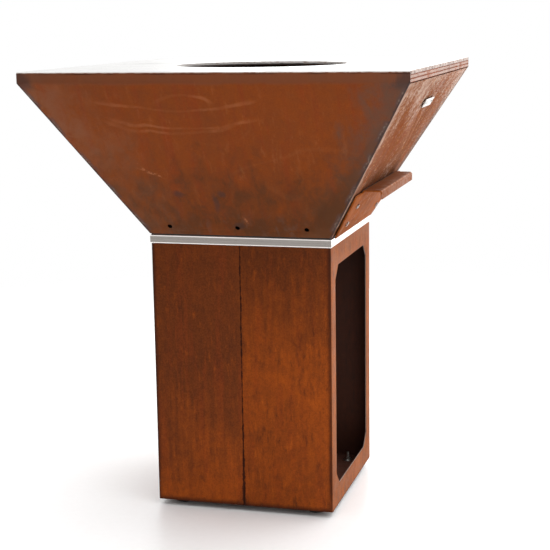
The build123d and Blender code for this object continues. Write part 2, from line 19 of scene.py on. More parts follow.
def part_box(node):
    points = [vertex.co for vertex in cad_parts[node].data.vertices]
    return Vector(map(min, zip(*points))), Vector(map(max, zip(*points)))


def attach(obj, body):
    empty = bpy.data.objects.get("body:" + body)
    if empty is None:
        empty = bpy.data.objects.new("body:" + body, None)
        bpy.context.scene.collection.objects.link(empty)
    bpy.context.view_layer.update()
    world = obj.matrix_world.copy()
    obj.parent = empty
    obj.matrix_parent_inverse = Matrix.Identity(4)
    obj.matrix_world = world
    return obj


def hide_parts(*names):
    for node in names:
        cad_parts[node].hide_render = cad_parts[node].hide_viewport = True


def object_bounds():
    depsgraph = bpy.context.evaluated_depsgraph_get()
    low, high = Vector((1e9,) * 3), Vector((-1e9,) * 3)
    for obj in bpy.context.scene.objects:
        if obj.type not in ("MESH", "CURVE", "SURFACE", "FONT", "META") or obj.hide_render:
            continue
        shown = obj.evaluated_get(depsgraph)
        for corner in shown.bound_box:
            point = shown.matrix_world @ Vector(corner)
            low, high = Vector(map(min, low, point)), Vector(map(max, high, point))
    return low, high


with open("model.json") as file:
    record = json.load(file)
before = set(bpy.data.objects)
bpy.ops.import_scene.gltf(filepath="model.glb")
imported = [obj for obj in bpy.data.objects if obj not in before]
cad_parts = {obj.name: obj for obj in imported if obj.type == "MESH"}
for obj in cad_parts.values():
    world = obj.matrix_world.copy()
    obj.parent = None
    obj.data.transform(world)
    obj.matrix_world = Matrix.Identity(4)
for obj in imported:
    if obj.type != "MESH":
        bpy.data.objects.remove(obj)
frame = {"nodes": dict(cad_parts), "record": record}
cad_low, cad_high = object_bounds()

bl_info = {
    "name": "Wood-fired grill",
    "version": (1, 0, 0),
    "blender": (4, 5, 0),
    "location": "View3D > Sidebar > Grill",
    "description": "Dresses the packed grill with softened sheets, fasteners, welds and weathered finishes",
    "category": "Object",
}

FOOT_CORNERS = ("front_left", "front_right", "back_left", "back_right")
UP = Vector((0, 0, 1))
WHITE = (1, 1, 1)
BOWL_SHEET = 0.003
# Radius of the cooking plate's round opening
PLATE_OPENING = 0.2

# Arcs of dried water on the front wall: middle across and up, half width, half height, and 1 for
# the upper half of that ring or -1 for the lower
WATER_ARCS = (
    (-0.057, 0.951, 0.065, 0.028, 1),
    (-0.079, 0.967, 0.17, 0.025, -1),
    (-0.07, 0.926, 0.157, 0.023, -1),
    (-0.092, 0.921, 0.144, 0.029, -1),
)
# Pale smears on the front wall: middle across and up, half length, half width, turn
SMEARS = (
    (-0.172, 0.796, 0.04, 0.0035, 0.38),
    (-0.19, 0.808, 0.02, 0.003, 0.9),
    (0.021, 0.688, 0.014, 0.004, 1.0),
)
# Dark blotches on the front wall: middle across and up, half width, half height
BLOTCHES = (
    (-0.119, 0.748, 0.014, 0.011),
    (-0.04, 0.727, 0.01, 0.03),
    (-0.02, 0.752, 0.014, 0.009),
    (0.005, 0.674, 0.014, 0.01),
)
# Half size of a mark front to back, so large that depth hardly counts
MARK_DEPTH = 100
# How far the marks stray from their drawn shape
MARK_WANDER = 0.03
# Short ground welds along the slanting edges: height of the lowest and distance from one to the next
STITCH_START = 0.686
STITCH_PITCH = 0.0714

# How far behind its limit the mask of an outer face starts, and where it is full
FACE_START = 0.0012
FACE_FULL = 0.0004

# Distance under which corners count as one, and that for the turns of a thread
SAME_CORNER = 0.000001
SAME_THREAD = 0.000002
# Share that counts as the whole, of a radius or of a face's turn to an axis
NEARLY_ALL = 0.99
# Angles between faces up to which they are merged, shaded smooth and left without a rounded edge
FLAT_ANGLE = math.radians(0.3)
SMOOTH_ANGLE = math.radians(35)
SHARP_ANGLE = math.radians(40)
# Sides of turned rods and button heads
TURNED_SIDES = 48
# How far cutting tools reach past what they cut
TOOL_OVER = 0.001
MOUTH_OVER = 0.0002
# Shares by which a bore clears its bolt, and turned tools clear a thread's crests and a hexagon's corners
BORE_CLEAR = 1.02
CREST_CLEAR = 1.02
CORNER_CLEAR = 1.01
# Shares of a hexagon's width across flats: radius of its turned face and height of that chamfer
HEX_FACE = 0.475
HEX_CHAMFER = 0.06
# Shares of a nut's bore: radius and depth of its mouths
MOUTH_RADIUS = 1.18
MOUTH_DEPTH = 0.2
# Shares of a thread's pitch: depth, height of a flank and of the crest, and its steps per turn
THREAD_DEPTH = 0.55
THREAD_FLANK = 0.44
THREAD_CREST = 0.12
THREAD_STEPS = 24
# Flattening and lean of a weld bead
BEAD_FLAT = 0.6
BEAD_LEAN = math.radians(35)

# Soft boxes of the studio: place, width and height
TOP_BOX = ((0.3, 0.0, 3.2), 4.4, 4.4)
BACK_BOX = ((0.7, 3.3, 1.1), 4.4, 2.2)
SENSOR_WIDTH = 36

# Sockets of a colour Mix node, which go by number
MIX_FACTOR, MIX_FIRST, MIX_SECOND, MIX_RESULT = 0, 6, 7, 2

# The bowl's outer faces, read from the frame: half width at the foot and growth per metre of height
wall_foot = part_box("bowl_front_wall")[0].z
wall_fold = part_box("rim_frame")[0].z
base_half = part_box("spacer_bar_front")[1].x
flange_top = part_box("bowl_front_wall")[1].z
top_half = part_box("bowl_front_wall")[1].x
wall_slope = (top_half - base_half) / (wall_fold - wall_foot)
wall_cos = 1 / math.hypot(1, wall_slope)
DRAWER_OUT = Vector((wall_cos, 0, -wall_slope * wall_cos))
store_low, store_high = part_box("pedestal_right_shell")


def linear(value):
    """Linear brightness of a usual 0 to 255 value."""
    share = value / 255
    return share / 12.92 if share <= 0.04045 else ((share + 0.055) / 1.055) ** 2.4


def tint(name, description, *rgb):
    """Colour property, given in the usual 0 to 255 values."""
    return FloatVectorProperty(
        name=name, description=description, subtype="COLOR", size=3, min=0, max=1,
        default=[linear(value) for value in rgb],
    )


def metres(name, description, default):
    return FloatProperty(name=name, description=description, default=default, min=0, unit="LENGTH")


class GrillSizes(bpy.types.PropertyGroup):
    """Sizes of the modelled details."""

    sheet_edge: metres("Sheet edge", "Rounding of the cut edges of sheets", 0.0005)
    bar_edge: metres("Plate edge", "Rounding of the edges of plates and cast pieces", 0.0008)
    washer_edge: metres("Washer edge", "Rounding of stamped washers", 0.0003)
    coarse_pitch: metres("Stud pitch", "Thread pitch of the foot studs", 0.00125)
    fine_pitch: metres("Bolt pitch", "Thread pitch of the bolts", 0.001)
    stud_radius: metres("Stud radius", "Radius of the foot studs", 0.004)
    stud_seat: metres("Stud seat", "How deep a foot stud sits in its pad", 0.005)
    foot_flats: metres("Foot nut flats", "Width across flats of the foot nuts", 0.013)
    bolt_radius: metres("Bolt radius", "Radius of the bolts", 0.003)
    bolt_flats: metres("Bolt flats", "Width across flats of bolt heads and their nuts", 0.01)
    thread_chamfer: metres("Thread chamfer", "Chamfer at the ends of threads", 0.0007)
    button_radius: metres("Button radius", "Radius of the drawer bolts' heads", 0.0065)
    button_head: metres("Button head", "Height of the drawer bolts' heads", 0.0035)
    button_dome: metres("Button dome", "Rounding of the drawer bolts' heads", 0.0024)
    socket_flats: metres("Socket flats", "Width of the hexagon socket", 0.004)
    socket_depth: metres("Socket depth", "Depth of the hexagon socket", 0.0022)
    hex_head: metres("Hexagon head", "Height of the bowl bolts' heads", 0.004)
    rivet_head: metres("Rivet head", "Height of the rivets' heads", 0.0012)
    rivet_radius: metres("Rivet radius", "Radius of the rivets' heads", 0.0035)
    rivet_shank: metres("Rivet shank", "Radius of the rivets' shanks", 0.002)
    pad_rim: metres("Pad rim", "Height of the upright rim of the foot pads", 0.0045)
    pad_shoulder: metres("Pad shoulder", "Radius of the shoulder of the foot pads", 0.012)
    pad_edge: metres("Pad edge", "Rounding under the foot pads", 0.0015)
    pad_notches: IntProperty(
        name="Pad notches", description="Grip notches around a foot pad", default=12, min=3
    )
    pad_notch: metres("Notch depth", "Depth of the grip notches", 0.0008)
    bead_radius: metres("Weld bead", "Radius of a weld bead", 0.0032)
    bead_pitch: metres("Bead pitch", "Distance from bead to bead along a weld", 0.0038)


class GrillColours(bpy.types.PropertyGroup):
    """Colours of the finishes."""

    rust: tint("Rust", "Main orange brown of the patina", 129, 62, 21)
    side_rust: tint("Side rust", "Main brown of the bowl's side walls", 124, 68, 30)
    rust_dark: tint("Dark rust", "Older, darker brown in the patina", 108, 56, 28)
    rust_red: tint("Red rust", "Red brown streaks", 130, 54, 22)
    rust_pale: tint("Pale rust", "Dry, pale rust on scratches and water lines", 178, 112, 72)
    # Also laid on the drawer's shelf as painted shade.
    mill_scale_and_shade: tint("Mill scale", "Grey brown rolling skin left near the edges", 98, 67, 52)
    edge_dark: tint("Dark edge", "Blue grey nicks along the slanting edges", 62, 50, 48)
    weld_halo: tint("Weld halo", "Blue grey heat marks around the stitch welds", 84, 66, 66)
    weld_grey: tint("Weld grey", "Ground stitch welds along the slanting edges", 134, 117, 102)
    haze: tint("Haze", "Dry, hazy brown at the far ends of the walls", 132, 82, 56)
    ochre: tint("Ochre", "Small yellowish flecks on the side walls", 196, 150, 104)
    rim_skin: tint("Rim skin", "Dull purple brown skin of the upright fold", 128, 68, 38)
    olive: tint("Olive stain", "Dull olive brown low on the walls", 88, 52, 29)
    # Also laid as a painted highlight along the front ends of the side walls.
    bloom_and_highlight: tint("Bloom", "Pale bloom on the side walls", 178, 150, 134)
    # Pale cut steel of the rim and cooking plates. It is also laid as a painted highlight on the cut faces
    # around the store's opening and along the bowl's top edge.
    cut_edge_and_highlight: tint("Cut edge", "Pale cut edges of the thick rim plates", 172, 152, 141)
    store_rust: tint("Store rust", "Main red brown of the wood store", 104, 50, 20)
    store_dark: tint("Store dark rust", "Darker brown of the wood store", 84, 42, 20)
    # Laid low on the store, partly as fresh rust and partly as painted light from the floor. The darker top
    # it leaves is painted shade under the bowl.
    store_orange: tint("Store orange rust", "Fresh orange rust low on the store", 150, 70, 20)
    store_fleck: tint("Store flecks", "Bright orange streaks in the fresh rust", 190, 92, 28)
    # Painted sheen: paler orange laid on the side faces of the wood store.
    store_side_sheen: tint("Store side rust", "Paler orange of the sides of the wood store, a painted sheen", 146, 86, 50)
    drawer_rust: tint("Drawer rust", "Orange brown of the drawer's front", 146, 79, 33)
    seam_dark: tint("Seam", "Dark, flaked rust along the seam", 46, 21, 13)
    # Painted shade for the inside of the wood store.
    store_inside: tint("Store inside", "Dark, dusty inside of the wood store", 64, 48, 44)
    soot: tint("Soot", "Sooted steel inside the fire bowl", 46, 40, 37)
    burnt: tint("Burnt steel", "Brown heat marks in the soot", 66, 50, 42)
    ash: tint("Ash", "Pale ash and heat marks", 128, 122, 116)
    bright_steel: tint("Bright steel", "Brushed spacer frame and badge", 150, 144, 139)
    # Painted light: the side bars of the spacer frame get a paler copy of the bright steel.
    lit_side_steel: tint("Side steel", "Brushed steel of the spacer frame's side bars, painted lighter for the light on them", 206, 202, 199)
    # Painted highlight of the rounded top and bottom edges of the spacer frame.
    edge_highlight: tint("Edge highlight", "Rounded edges of the spacer frame", 252, 247, 244)
    plate_steel: tint("Plate steel", "Ground cooking plate", 240, 239, 237)
    zinc: tint("Zinc", "Plated fasteners", 200, 200, 196)
    cast_iron: tint("Cast iron", "Fire grate", 52, 50, 48)
    plastic: tint("Foot plastic", "Black foot pads", 24, 24, 25)
    floor: tint("Floor", "Pale studio floor", 246, 246, 246)


class GrillStudio(bpy.types.PropertyGroup):
    """Camera and light."""

    camera_place: FloatVectorProperty(
        name="Camera place", description="Where the camera stands",
        subtype="XYZ", unit="LENGTH", default=(0.9082, -3.1622, 1.1338),
    )
    camera_turn: FloatVectorProperty(
        name="Camera turn", description="Heading, tilt below the horizon and roll of the camera",
        subtype="EULER", default=(math.radians(15.637), math.radians(10.549), math.radians(-0.86)),
    )
    camera_lens: FloatProperty(name="Lens", description="Focal length on a 36 mm frame", default=91.0, min=1)
    light_from: FloatVectorProperty(
        name="Light from", description="Direction of the bright side of the studio",
        subtype="DIRECTION", default=(0.8, 0.6, 0.1),
    )
    bright_side: FloatProperty(
        name="Bright side", description="Strength of the bright side", default=1.9, min=0
    )
    dim_side: FloatProperty(
        name="Dim side", description="Strength of the side behind the camera", default=0.38, min=0
    )
    top_lamp: FloatProperty(
        name="Top lamp", description="Power of the soft box above", default=72, min=0, unit="POWER"
    )
    back_lamp: FloatProperty(
        name="Back lamp", description="Power of the soft box behind", default=50, min=0, unit="POWER"
    )
    floor_radius: metres("Floor radius", "Radius at which the floor has faded out", 3.0)


# Node helpers


class Value:
    """Output of a node. Sums and products of it add Math nodes to its tree."""

    def __init__(self, nodes, socket):
        self.nodes = nodes
        self.socket = socket

    def __add__(self, other):
        return self.nodes.math("ADD", self, other)

    def __sub__(self, other):
        return self.nodes.math("SUBTRACT", self, other)

    def __rsub__(self, other):
        return self.nodes.math("SUBTRACT", other, self)

    def __mul__(self, other):
        return self.nodes.math("MULTIPLY", self, other)

    def __abs__(self):
        return self.nodes.math("ABSOLUTE", self)

    def wave(self, size):
        """Rises from 0 to a size and falls back, over and over."""
        return self.nodes.math("PINGPONG", self, size)

    def step(self, start, end, low=0.0, high=1.0):
        """Smooth step from start to end, put out from low to high."""
        return self.nodes.put(
            "ShaderNodeMapRange", 0, {"interpolation_type": "SMOOTHSTEP"},
            Value=self, From_Min=start, From_Max=end, To_Min=low, To_Max=high,
        )

    def at_face(self, limit, high=1.0):
        """Mask of an outer face that lies at a limit."""
        return self.step(limit - FACE_START, limit - FACE_FULL, 0.0, high)


def least(first, second):
    return first.nodes.math("MINIMUM", first, second)


def most(first, *others):
    for other in others:
        first = first.nodes.math("MAXIMUM", first, other)
    return first


def fill(socket, value):
    """Links an output to a socket, or sets the socket to a number, vector or colour."""
    if isinstance(value, Value):
        socket.id_data.links.new(value.socket, socket)
    elif socket.type == "RGBA" and len(value) == 3:
        socket.default_value = (*value, 1)
    else:
        socket.default_value = value


class Nodes:
    """Node tree with short ways to add nodes. Its colour is what has been laid on so far."""

    def __init__(self, tree):
        self.tree = tree
        self.spot = None
        self.colour = None

    def node(self, kind, settings=None, **sockets):
        """Adds a node. Its settings and input sockets go by name."""
        node = self.tree.nodes.new(kind)
        for key, value in (settings or {}).items():
            setattr(node, key, value)
        for key, value in sockets.items():
            fill(node.inputs[key.replace("_", " ")], value)
        return node

    def put(self, kind, output=0, settings=None, **sockets):
        """Adds a node and returns one of its outputs."""
        return Value(self, self.node(kind, settings, **sockets).outputs[output])

    def math(self, operation, *values, kind="ShaderNodeMath", output="Value"):
        node = self.node(kind, {"operation": operation})
        for socket, value in zip(node.inputs, values):
            fill(socket, value)
        return Value(self, node.outputs[output])

    def vector_math(self, operation, *vectors, output="Value"):
        return self.math(operation, *vectors, kind="ShaderNodeVectorMath", output=output)

    def blend(self, factor, first, second, mode="MIX"):
        """Mixes two colours."""
        node = self.node("ShaderNodeMix", {"data_type": "RGBA", "blend_type": mode})
        for index, value in ((MIX_FACTOR, factor), (MIX_FIRST, first), (MIX_SECOND, second)):
            fill(node.inputs[index], value)
        return Value(self, node.outputs[MIX_RESULT])

    def lay(self, mask, colour):
        """Lays a colour on, where a mask is high."""
        self.colour = self.blend(mask, self.colour, colour)

    def shade(self, value):
        """Multiplies the colour by a value."""
        grey = self.put("ShaderNodeCombineColor", Red=value, Green=value, Blue=value)
        self.colour = self.blend(1.0, self.colour, grey, "MULTIPLY")

    def stretched(self, scale):
        return self.put("ShaderNodeMapping", Vector=self.spot, Scale=scale)

    def noise(self, scale, detail=5.0, roughness=0.55, distortion=0.0, vector=None):
        """Cloud noise. Three numbers as its scale stretch it along the axes."""
        vector = vector or self.spot
        if isinstance(scale, tuple):
            vector = self.stretched(scale)
            scale = 1.0
        return self.put(
            "ShaderNodeTexNoise", "Fac",
            Vector=vector, Scale=scale, Detail=detail, Roughness=roughness, Distortion=distortion,
        )

    def place(self, make_group, **sockets):
        """Puts in a node group and returns its outputs. It is made on first use and named as its maker."""
        name = make_group.__name__
        if name not in bpy.data.node_groups:
            make_group()
        node = self.node("ShaderNodeGroup", {"node_tree": bpy.data.node_groups[name]}, **sockets)
        return {socket.name: Value(self, socket) for socket in node.outputs}

    def shown(self):
        """1 for rays that show a surface: from the camera, off a gloss or through glass."""
        ray = self.node("ShaderNodeLightPath").outputs
        return most(*[Value(self, ray[f"Is {kind} Ray"]) for kind in ("Camera", "Glossy", "Transmission")])

    def mix_shaders(self, factor, first, second, output):
        """Feeds an output node with a mix of two shaders."""
        mix = self.node("ShaderNodeMixShader", Fac=factor)
        fill(mix.inputs[1], first)
        fill(mix.inputs[2], second)
        fill(output.inputs["Surface"], Value(self, mix.outputs[0]))


class Group(Nodes):
    """New shader node group. Its inputs are in source, and its spot is the input Vector."""

    def __init__(self, name, vectors=(), colours=(), values=()):
        super().__init__(bpy.data.node_groups.new(name, "ShaderNodeTree"))
        for kind, names in (("Vector", ("Vector", *vectors)), ("Color", colours), ("Float", values)):
            for socket in names:
                self.tree.interface.new_socket(socket, in_out="INPUT", socket_type="NodeSocket" + kind)
        entry = self.node("NodeGroupInput")
        self.source = {socket.name: Value(self, socket) for socket in entry.outputs}
        self.spot = self.source["Vector"]

    def give(self, **outputs):
        """Sets the outputs. The one named Colour is a colour, and the others are values."""
        for name in outputs:
            kind = "Color" if name == "Colour" else "Float"
            self.tree.interface.new_socket(name, in_out="OUTPUT", socket_type="NodeSocket" + kind)
        self.node("NodeGroupOutput", **outputs)


class Surface(Nodes):
    """New material with its shader and the Object coordinates of the piece that it is on."""

    def __init__(self, name):
        self.material = bpy.data.materials.new(name)
        self.material.use_nodes = True
        super().__init__(self.material.node_tree)
        self.tree.nodes.clear()
        self.shader = self.node("ShaderNodeBsdfPrincipled")
        self.bsdf = Value(self, self.shader.outputs["BSDF"])
        self.output = self.node("ShaderNodeOutputMaterial", Surface=self.bsdf)
        self.spot = self.put("ShaderNodeTexCoord", "Object")
        axes = self.node("ShaderNodeSeparateXYZ", Vector=self.spot).outputs
        self.x, self.y, self.z = [Value(self, axis) for axis in axes]
        self.colours = bpy.context.scene.grill_colours

    def rust(self, run, fleck, **sockets):
        """Starts the colour with a rust patina, and returns its roughness and height."""
        colours = self.colours
        tones = {"Dark": colours.rust_dark, "Red": colours.rust_red, "Pale": colours.rust_pale}
        patina = self.place(
            rust_patina, Vector=self.spot, Run=self.stretched(run), Fleck=self.stretched(fleck),
            **(tones | sockets),
        )
        self.colour = patina["Colour"]
        return patina["Roughness"], patina["Height"]

    def soot(self, colour):
        """Outputs of a layer of soot with ash and heat marks."""
        ash, burnt = self.colours.ash, self.colours.burnt
        return self.place(soot_and_ash, Vector=self.spot, Soot=colour, Ash=ash, Rust=burnt)

    def brush(self, steel, lines, stained):
        """Starts the colour with brushed steel, and returns its roughness and height."""
        brushed = self.place(
            brushed_lines, Vector=self.spot, Lines=self.stretched(lines),
            Steel=steel, Stain=self.colours.ash, Stained=stained,
        )
        self.colour = brushed["Colour"]
        return brushed["Roughness"], brushed["Height"]

    def finish(self, roughness, height, depth, metallic=0.0, specular=0.5):
        """Joins the colour and the rest to the shader, with a bump of that depth in metres."""
        bump = self.put("ShaderNodeBump", Strength=1.0, Distance=depth, Height=height)
        for name, value in (
            ("Base Color", self.colour),
            ("Roughness", roughness),
            ("Metallic", metallic),
            ("Specular IOR Level", specular),
            ("Normal", bump),
        ):
            fill(self.shader.inputs[name], value)


# Shared effects, each a node group named as its function


def rust_patina():
    """Clouds, runs, flecks and grain of a rust patina."""
    group = Group(
        "rust_patina",
        vectors=("Run", "Fleck"),
        colours=("Main", "Dark", "Red", "Pale"),
        values=("Clouds", "Runs", "Flecks", "Grain"),
    )
    source = group.source
    group.colour = source["Main"]
    group.lay(group.noise(5.2, 7.0, 0.66, 0.3).step(0.4, 0.66) * source["Clouds"], source["Dark"])
    runs = group.noise(1.0, 6.0, 0.68, 0.25, source["Run"]).step(0.48, 0.64)
    group.lay(runs * source["Runs"], source["Red"])
    flecks = group.noise(1.0, 8.0, 0.72, 0.2, source["Fleck"])
    flecked = group.noise(11.0, 5.0, 0.6, 0.3).step(0.38, 0.62, 0.25, 1.0) * source["Flecks"]
    group.lay(flecks.step(0.5, 0.68) * flecked, source["Dark"])
    group.lay(flecks.step(0.47, 0.33) * (flecked * 0.55), source["Pale"])
    mottle = group.noise(42.0, 8.0, 0.72)
    grain = group.noise(330.0, 3.0, 0.6)
    shade = mottle.step(0.32, 0.7, -0.12, 0.12) + grain.step(0.32, 0.68, -0.13, 0.13)
    group.shade(shade * source["Grain"] + 1.0)
    pits = group.put("ShaderNodeTexVoronoi", "Distance", Vector=group.spot, Scale=85.0)
    pitted = pits.step(0.16, 0.08) * mottle.step(0.5, 0.6)
    group.lay(pitted * 0.55, source["Dark"])
    group.give(
        Colour=group.colour,
        Roughness=mottle.step(0.3, 0.75, 0.58, 0.86),
        Height=mottle * 0.55 + grain * 0.45 - pitted * 0.3,
    )


def tide_lines():
    """Thin lines that dried water leaves, as level lines of a slow noise."""
    group = Group("tide_lines", values=("Levels",))
    level = group.noise(1.0, 0.4, 0.4, 0.5)
    line = (level * group.source["Levels"]).wave(0.5).step(0.14, 0.03)
    group.give(Mask=line * group.noise(1.7, 3.0, 0.55).step(0.4, 0.6))


def soot_and_ash():
    """Soot with paler ash and heat marks."""
    group = Group("soot_and_ash", colours=("Soot", "Ash", "Rust"))
    group.colour = group.source["Soot"]
    group.lay(group.noise(11.0, 7.0, 0.65).step(0.5, 0.72, 0.0, 0.5), group.source["Rust"])
    dust = group.noise(46.0, 8.0, 0.75)
    group.lay(dust.step(0.5, 0.85, 0.0, 0.4), group.source["Ash"])
    group.give(Colour=group.colour, Roughness=dust.step(0.3, 0.7, 0.7, 0.92), Height=dust)


def brushed_lines():
    """Fine parallel lines of brushed or ground steel, with handling smudges."""
    group = Group("brushed_lines", ("Lines",), ("Steel", "Stain"), ("Stained",))
    group.colour = group.source["Steel"]
    lines = group.noise(1.0, 3.0, 0.6, vector=group.source["Lines"])
    group.shade(lines.step(0.3, 0.7, 0.9, 1.06))
    stain = group.noise(9.0, 7.0, 0.66).step(0.52, 0.76) * group.source["Stained"]
    group.lay(stain, group.source["Stain"])
    group.give(Colour=group.colour, Roughness=lines.step(0.3, 0.7, 0.24, 0.34) + stain * 0.25, Height=lines)


# Finishes, each a material named as its function


def made(finish):
    """The material of a finish, made on first use."""
    if finish.__name__ not in bpy.data.materials:
        finish(Surface(finish.__name__))
    return bpy.data.materials[finish.__name__]


def weather_wall(surface, across):
    """Stains, haze and rolling skin that all bowl walls have. across is the axis along the wall."""
    colours, z = surface.colours, surface.z
    drift = surface.noise(8.0, 6.0, 0.64, 0.3)
    offset = drift - 0.5
    # Half width of the bowl's outer faces at the height of a spot
    half = z * wall_slope + (base_half - wall_slope * wall_foot)
    near_end = half - across
    far_end = half + across
    streaks = surface.noise((26, 26, 5), 7.0, 0.7, 0.4) - 0.5
    low = (streaks * 0.5 + (offset * 0.25 + z)).step(0.87, 0.68, 0.0, 0.9)
    surface.lay(low * surface.noise((26, 26, 3), 6.0, 0.62, 0.2).step(0.36, 0.58, 0.45, 1.0), colours.olive)
    foot = (offset * 0.15 + z).step(0.73, 0.66, 0.0, 0.55)
    surface.lay(foot * surface.noise((36, 36, 12), 6.0, 0.66, 0.3).step(0.5, 0.62), colours.mill_scale_and_shade)
    ragged = streaks * 0.22 + offset * 0.2
    hazy = (ragged + far_end).step(0.19, 0.0, 0.0, 0.8) * z.step(0.76, 0.9, 0.3, 1.0)
    surface.lay(hazy * surface.noise(26.0, 7.0, 0.7, 0.4).step(0.36, 0.58, 0.4, 1.0), colours.haze)
    skin = (ragged + near_end).step(0.12, 0.0, 0.0, 0.95)
    surface.lay(skin, surface.blend(z.step(0.72, 0.92), colours.olive, colours.mill_scale_and_shade))
    band = (offset * 0.02 + z).step(wall_fold - 0.006, wall_fold + 0.004, 0.0, 0.75)
    surface.lay(band, surface.blend(drift, colours.mill_scale_and_shade, colours.rim_skin))
    return SimpleNamespace(
        half=half, offset=offset, streaks=streaks, ragged=ragged, skin=skin,
        far_end=far_end, ends=least(near_end, far_end),
    )


def mark_reach(surface, spot, across, height, wide, tall, turn=0.0):
    """Distance from the middle of a mark on the front wall, 1 at its rim."""
    mark = surface.put(
        "ShaderNodeMapping", 0, {"vector_type": "TEXTURE"},
        Vector=spot, Location=(across, 0, height), Rotation=(0, turn, 0), Scale=(wide, MARK_DEPTH, tall),
    )
    return surface.vector_math("LENGTH", mark)


def lay_front_marks(surface):
    """Water arcs, smears and dark blotches on the front wall."""
    wander = surface.put("ShaderNodeTexNoise", "Color", Vector=surface.spot, Scale=9.0, Detail=3.0)
    shift = surface.put(
        "ShaderNodeMapping", Vector=wander, Location=[-MARK_WANDER / 2] * 3, Scale=[MARK_WANDER] * 3
    )
    drawn = surface.vector_math("ADD", surface.spot, shift, output="Vector")
    level = surface.put("ShaderNodeSeparateXYZ", "Z", Vector=drawn)
    arcs = []
    for across, height, wide, tall, half in WATER_ARCS:
        line = abs(mark_reach(surface, drawn, across, height, wide, tall) - 1.0).step(0.14, 0.04)
        arcs.append(line * ((level - height) * half).step(0.0, tall * 0.6))
    pale = most(*arcs) * surface.noise(11.0, 4.0, 0.6).step(0.42, 0.6, 0.07, 0.28)
    scratchy = surface.noise(120.0, 4.0, 0.7).step(0.42, 0.6, 0.0, 0.6)
    smears = [mark_reach(surface, drawn, *smear).step(1.0, 0.3) * scratchy for smear in SMEARS]
    dark = most(*[mark_reach(surface, drawn, *blotch).step(1.1, 0.3, 0.0, 0.5) for blotch in BLOTCHES])
    front = surface.y.step(0.01, -0.01)
    surface.lay(most(pale, *smears) * front, surface.colours.rust_pale)
    surface.lay(dark * front, surface.colours.edge_dark)


def lay_slanting_edges(surface, wall):
    """Dark fold corners, and stitch welds and nicks along the slanting edges."""
    colours, z = surface.colours, surface.z
    corner = (wall.streaks * 0.06 + wall.ends).step(0.045, 0.02, 0.0, 0.6)
    surface.lay(corner * z.step(wall_fold - 0.02, wall_fold - 0.004), colours.edge_dark)
    nicks = wall.streaks * 0.02 + wall.ends
    stitch = wall.streaks * 0.03 + (z - STITCH_START).wave(STITCH_PITCH / 2)
    surface.lay(nicks.step(0.014, 0.007, 0.0, 0.55) * stitch.step(0.027, 0.014), colours.weld_halo)
    ground = nicks.step(0.0085, 0.0055) * stitch.step(0.018, 0.01)
    surface.lay(ground * surface.noise(150.0, 4.0, 0.6).step(0.4, 0.58, 0.05, 0.5), colours.weld_grey)
    surface.lay(nicks.step(0.0055, 0.0015, 0.0, 0.75), colours.edge_dark)


def lay_tide_lines(surface):
    """Faint lines of dried rain on a bowl wall."""
    tide = surface.place(tide_lines, Vector=surface.stretched((3.2, 3.2, 8)), Levels=6.0)["Mask"]
    surface.lay(tide * surface.noise(4.0, 2.0, 0.5).step(0.46, 0.62, 0.0, 0.06), surface.colours.rust_pale)


def lay_bloom(surface, wall):
    """Pale bloom, ochre flecks and pale front ends of the side walls, most on the right one. The front ends
    are a painted highlight along the edge, broken up as chipped wear.
    """
    colours, z = surface.colours, surface.z
    patches = surface.noise((9, 12, 11), 10.0, 0.76, 0.1)
    height = (wall.offset * 0.2 + z).step(0.84, 1.01, -0.16, 0.04)
    grit = surface.noise((90, 70, 160), 5.0, 0.7) - 0.5
    right = surface.x.step(-0.01, 0.01, 0.3, 1.0)
    cover = (grit * 0.8 + (patches + height)).step(0.38, 0.72)
    surface.lay(cover * (right * 0.95), colours.bloom_and_highlight)
    flecks = surface.noise((90, 70, 170), 6.0, 0.7).step(0.57, 0.67)
    surface.lay(flecks * (z.step(0.72, 0.84, 0.2, 0.75) * right), colours.ochre)
    # Painted highlight along the front ends of the side walls, broken up as chipped wear.
    wear_and_highlight = (wall.ragged * 0.7 + wall.far_end) - z.step(0.76, 0.97, 0.0, 0.035)
    chipped = surface.noise(45.0, 7.0, 0.72).step(0.4, 0.58, 0.25, 1.0)
    surface.lay(wear_and_highlight.step(0.026, -0.004, 0.0, 0.85) * chipped, colours.bloom_and_highlight)


def close_wall(surface, wall, rust, specular):
    """Top edge of a bowl wall, pale with wear and a painted highlight, and grimy; soot on its inner side;
    and its shader.
    """
    colours, z = surface.colours, surface.z
    # Painted highlight along the top edge, broken into specks of wear.
    wear_and_highlight = z.step(flange_top - 0.0016, flange_top - 0.0006, 0.0, 0.9)
    surface.lay(wear_and_highlight * surface.noise(80.0, 5.0, 0.7).step(0.44, 0.54, 0.15, 1.0), colours.cut_edge_and_highlight)
    grimy = surface.noise((14, 14, 90), 6.0, 0.7).step(0.42, 0.58, 0.1, 0.7)
    surface.lay(abs(z - (flange_top - 0.003)).step(0.0016, 0.0008) * grimy, colours.seam_dark)
    depth = least(wall.half, top_half) - most(abs(surface.x), abs(surface.y))
    surface.lay(depth.step(0.0019, 0.0023), surface.soot(colours.soot)["Colour"])
    roughness, height = rust
    surface.finish(wall.skin * -0.1 + roughness, height, 0.0005, specular=specular)


def bowl_front_rust(surface):
    """Patina of the front and back wall of the bowl."""
    main = surface.colours.rust
    rust = surface.rust((30, 1, 3), (75, 8, 22), Main=main, Clouds=0.4, Runs=0.5, Flecks=0.3, Grain=0.55)
    wall = weather_wall(surface, surface.x)
    lay_front_marks(surface)
    lay_slanting_edges(surface, wall)
    lay_tide_lines(surface)
    close_wall(surface, wall, rust, 0.08)


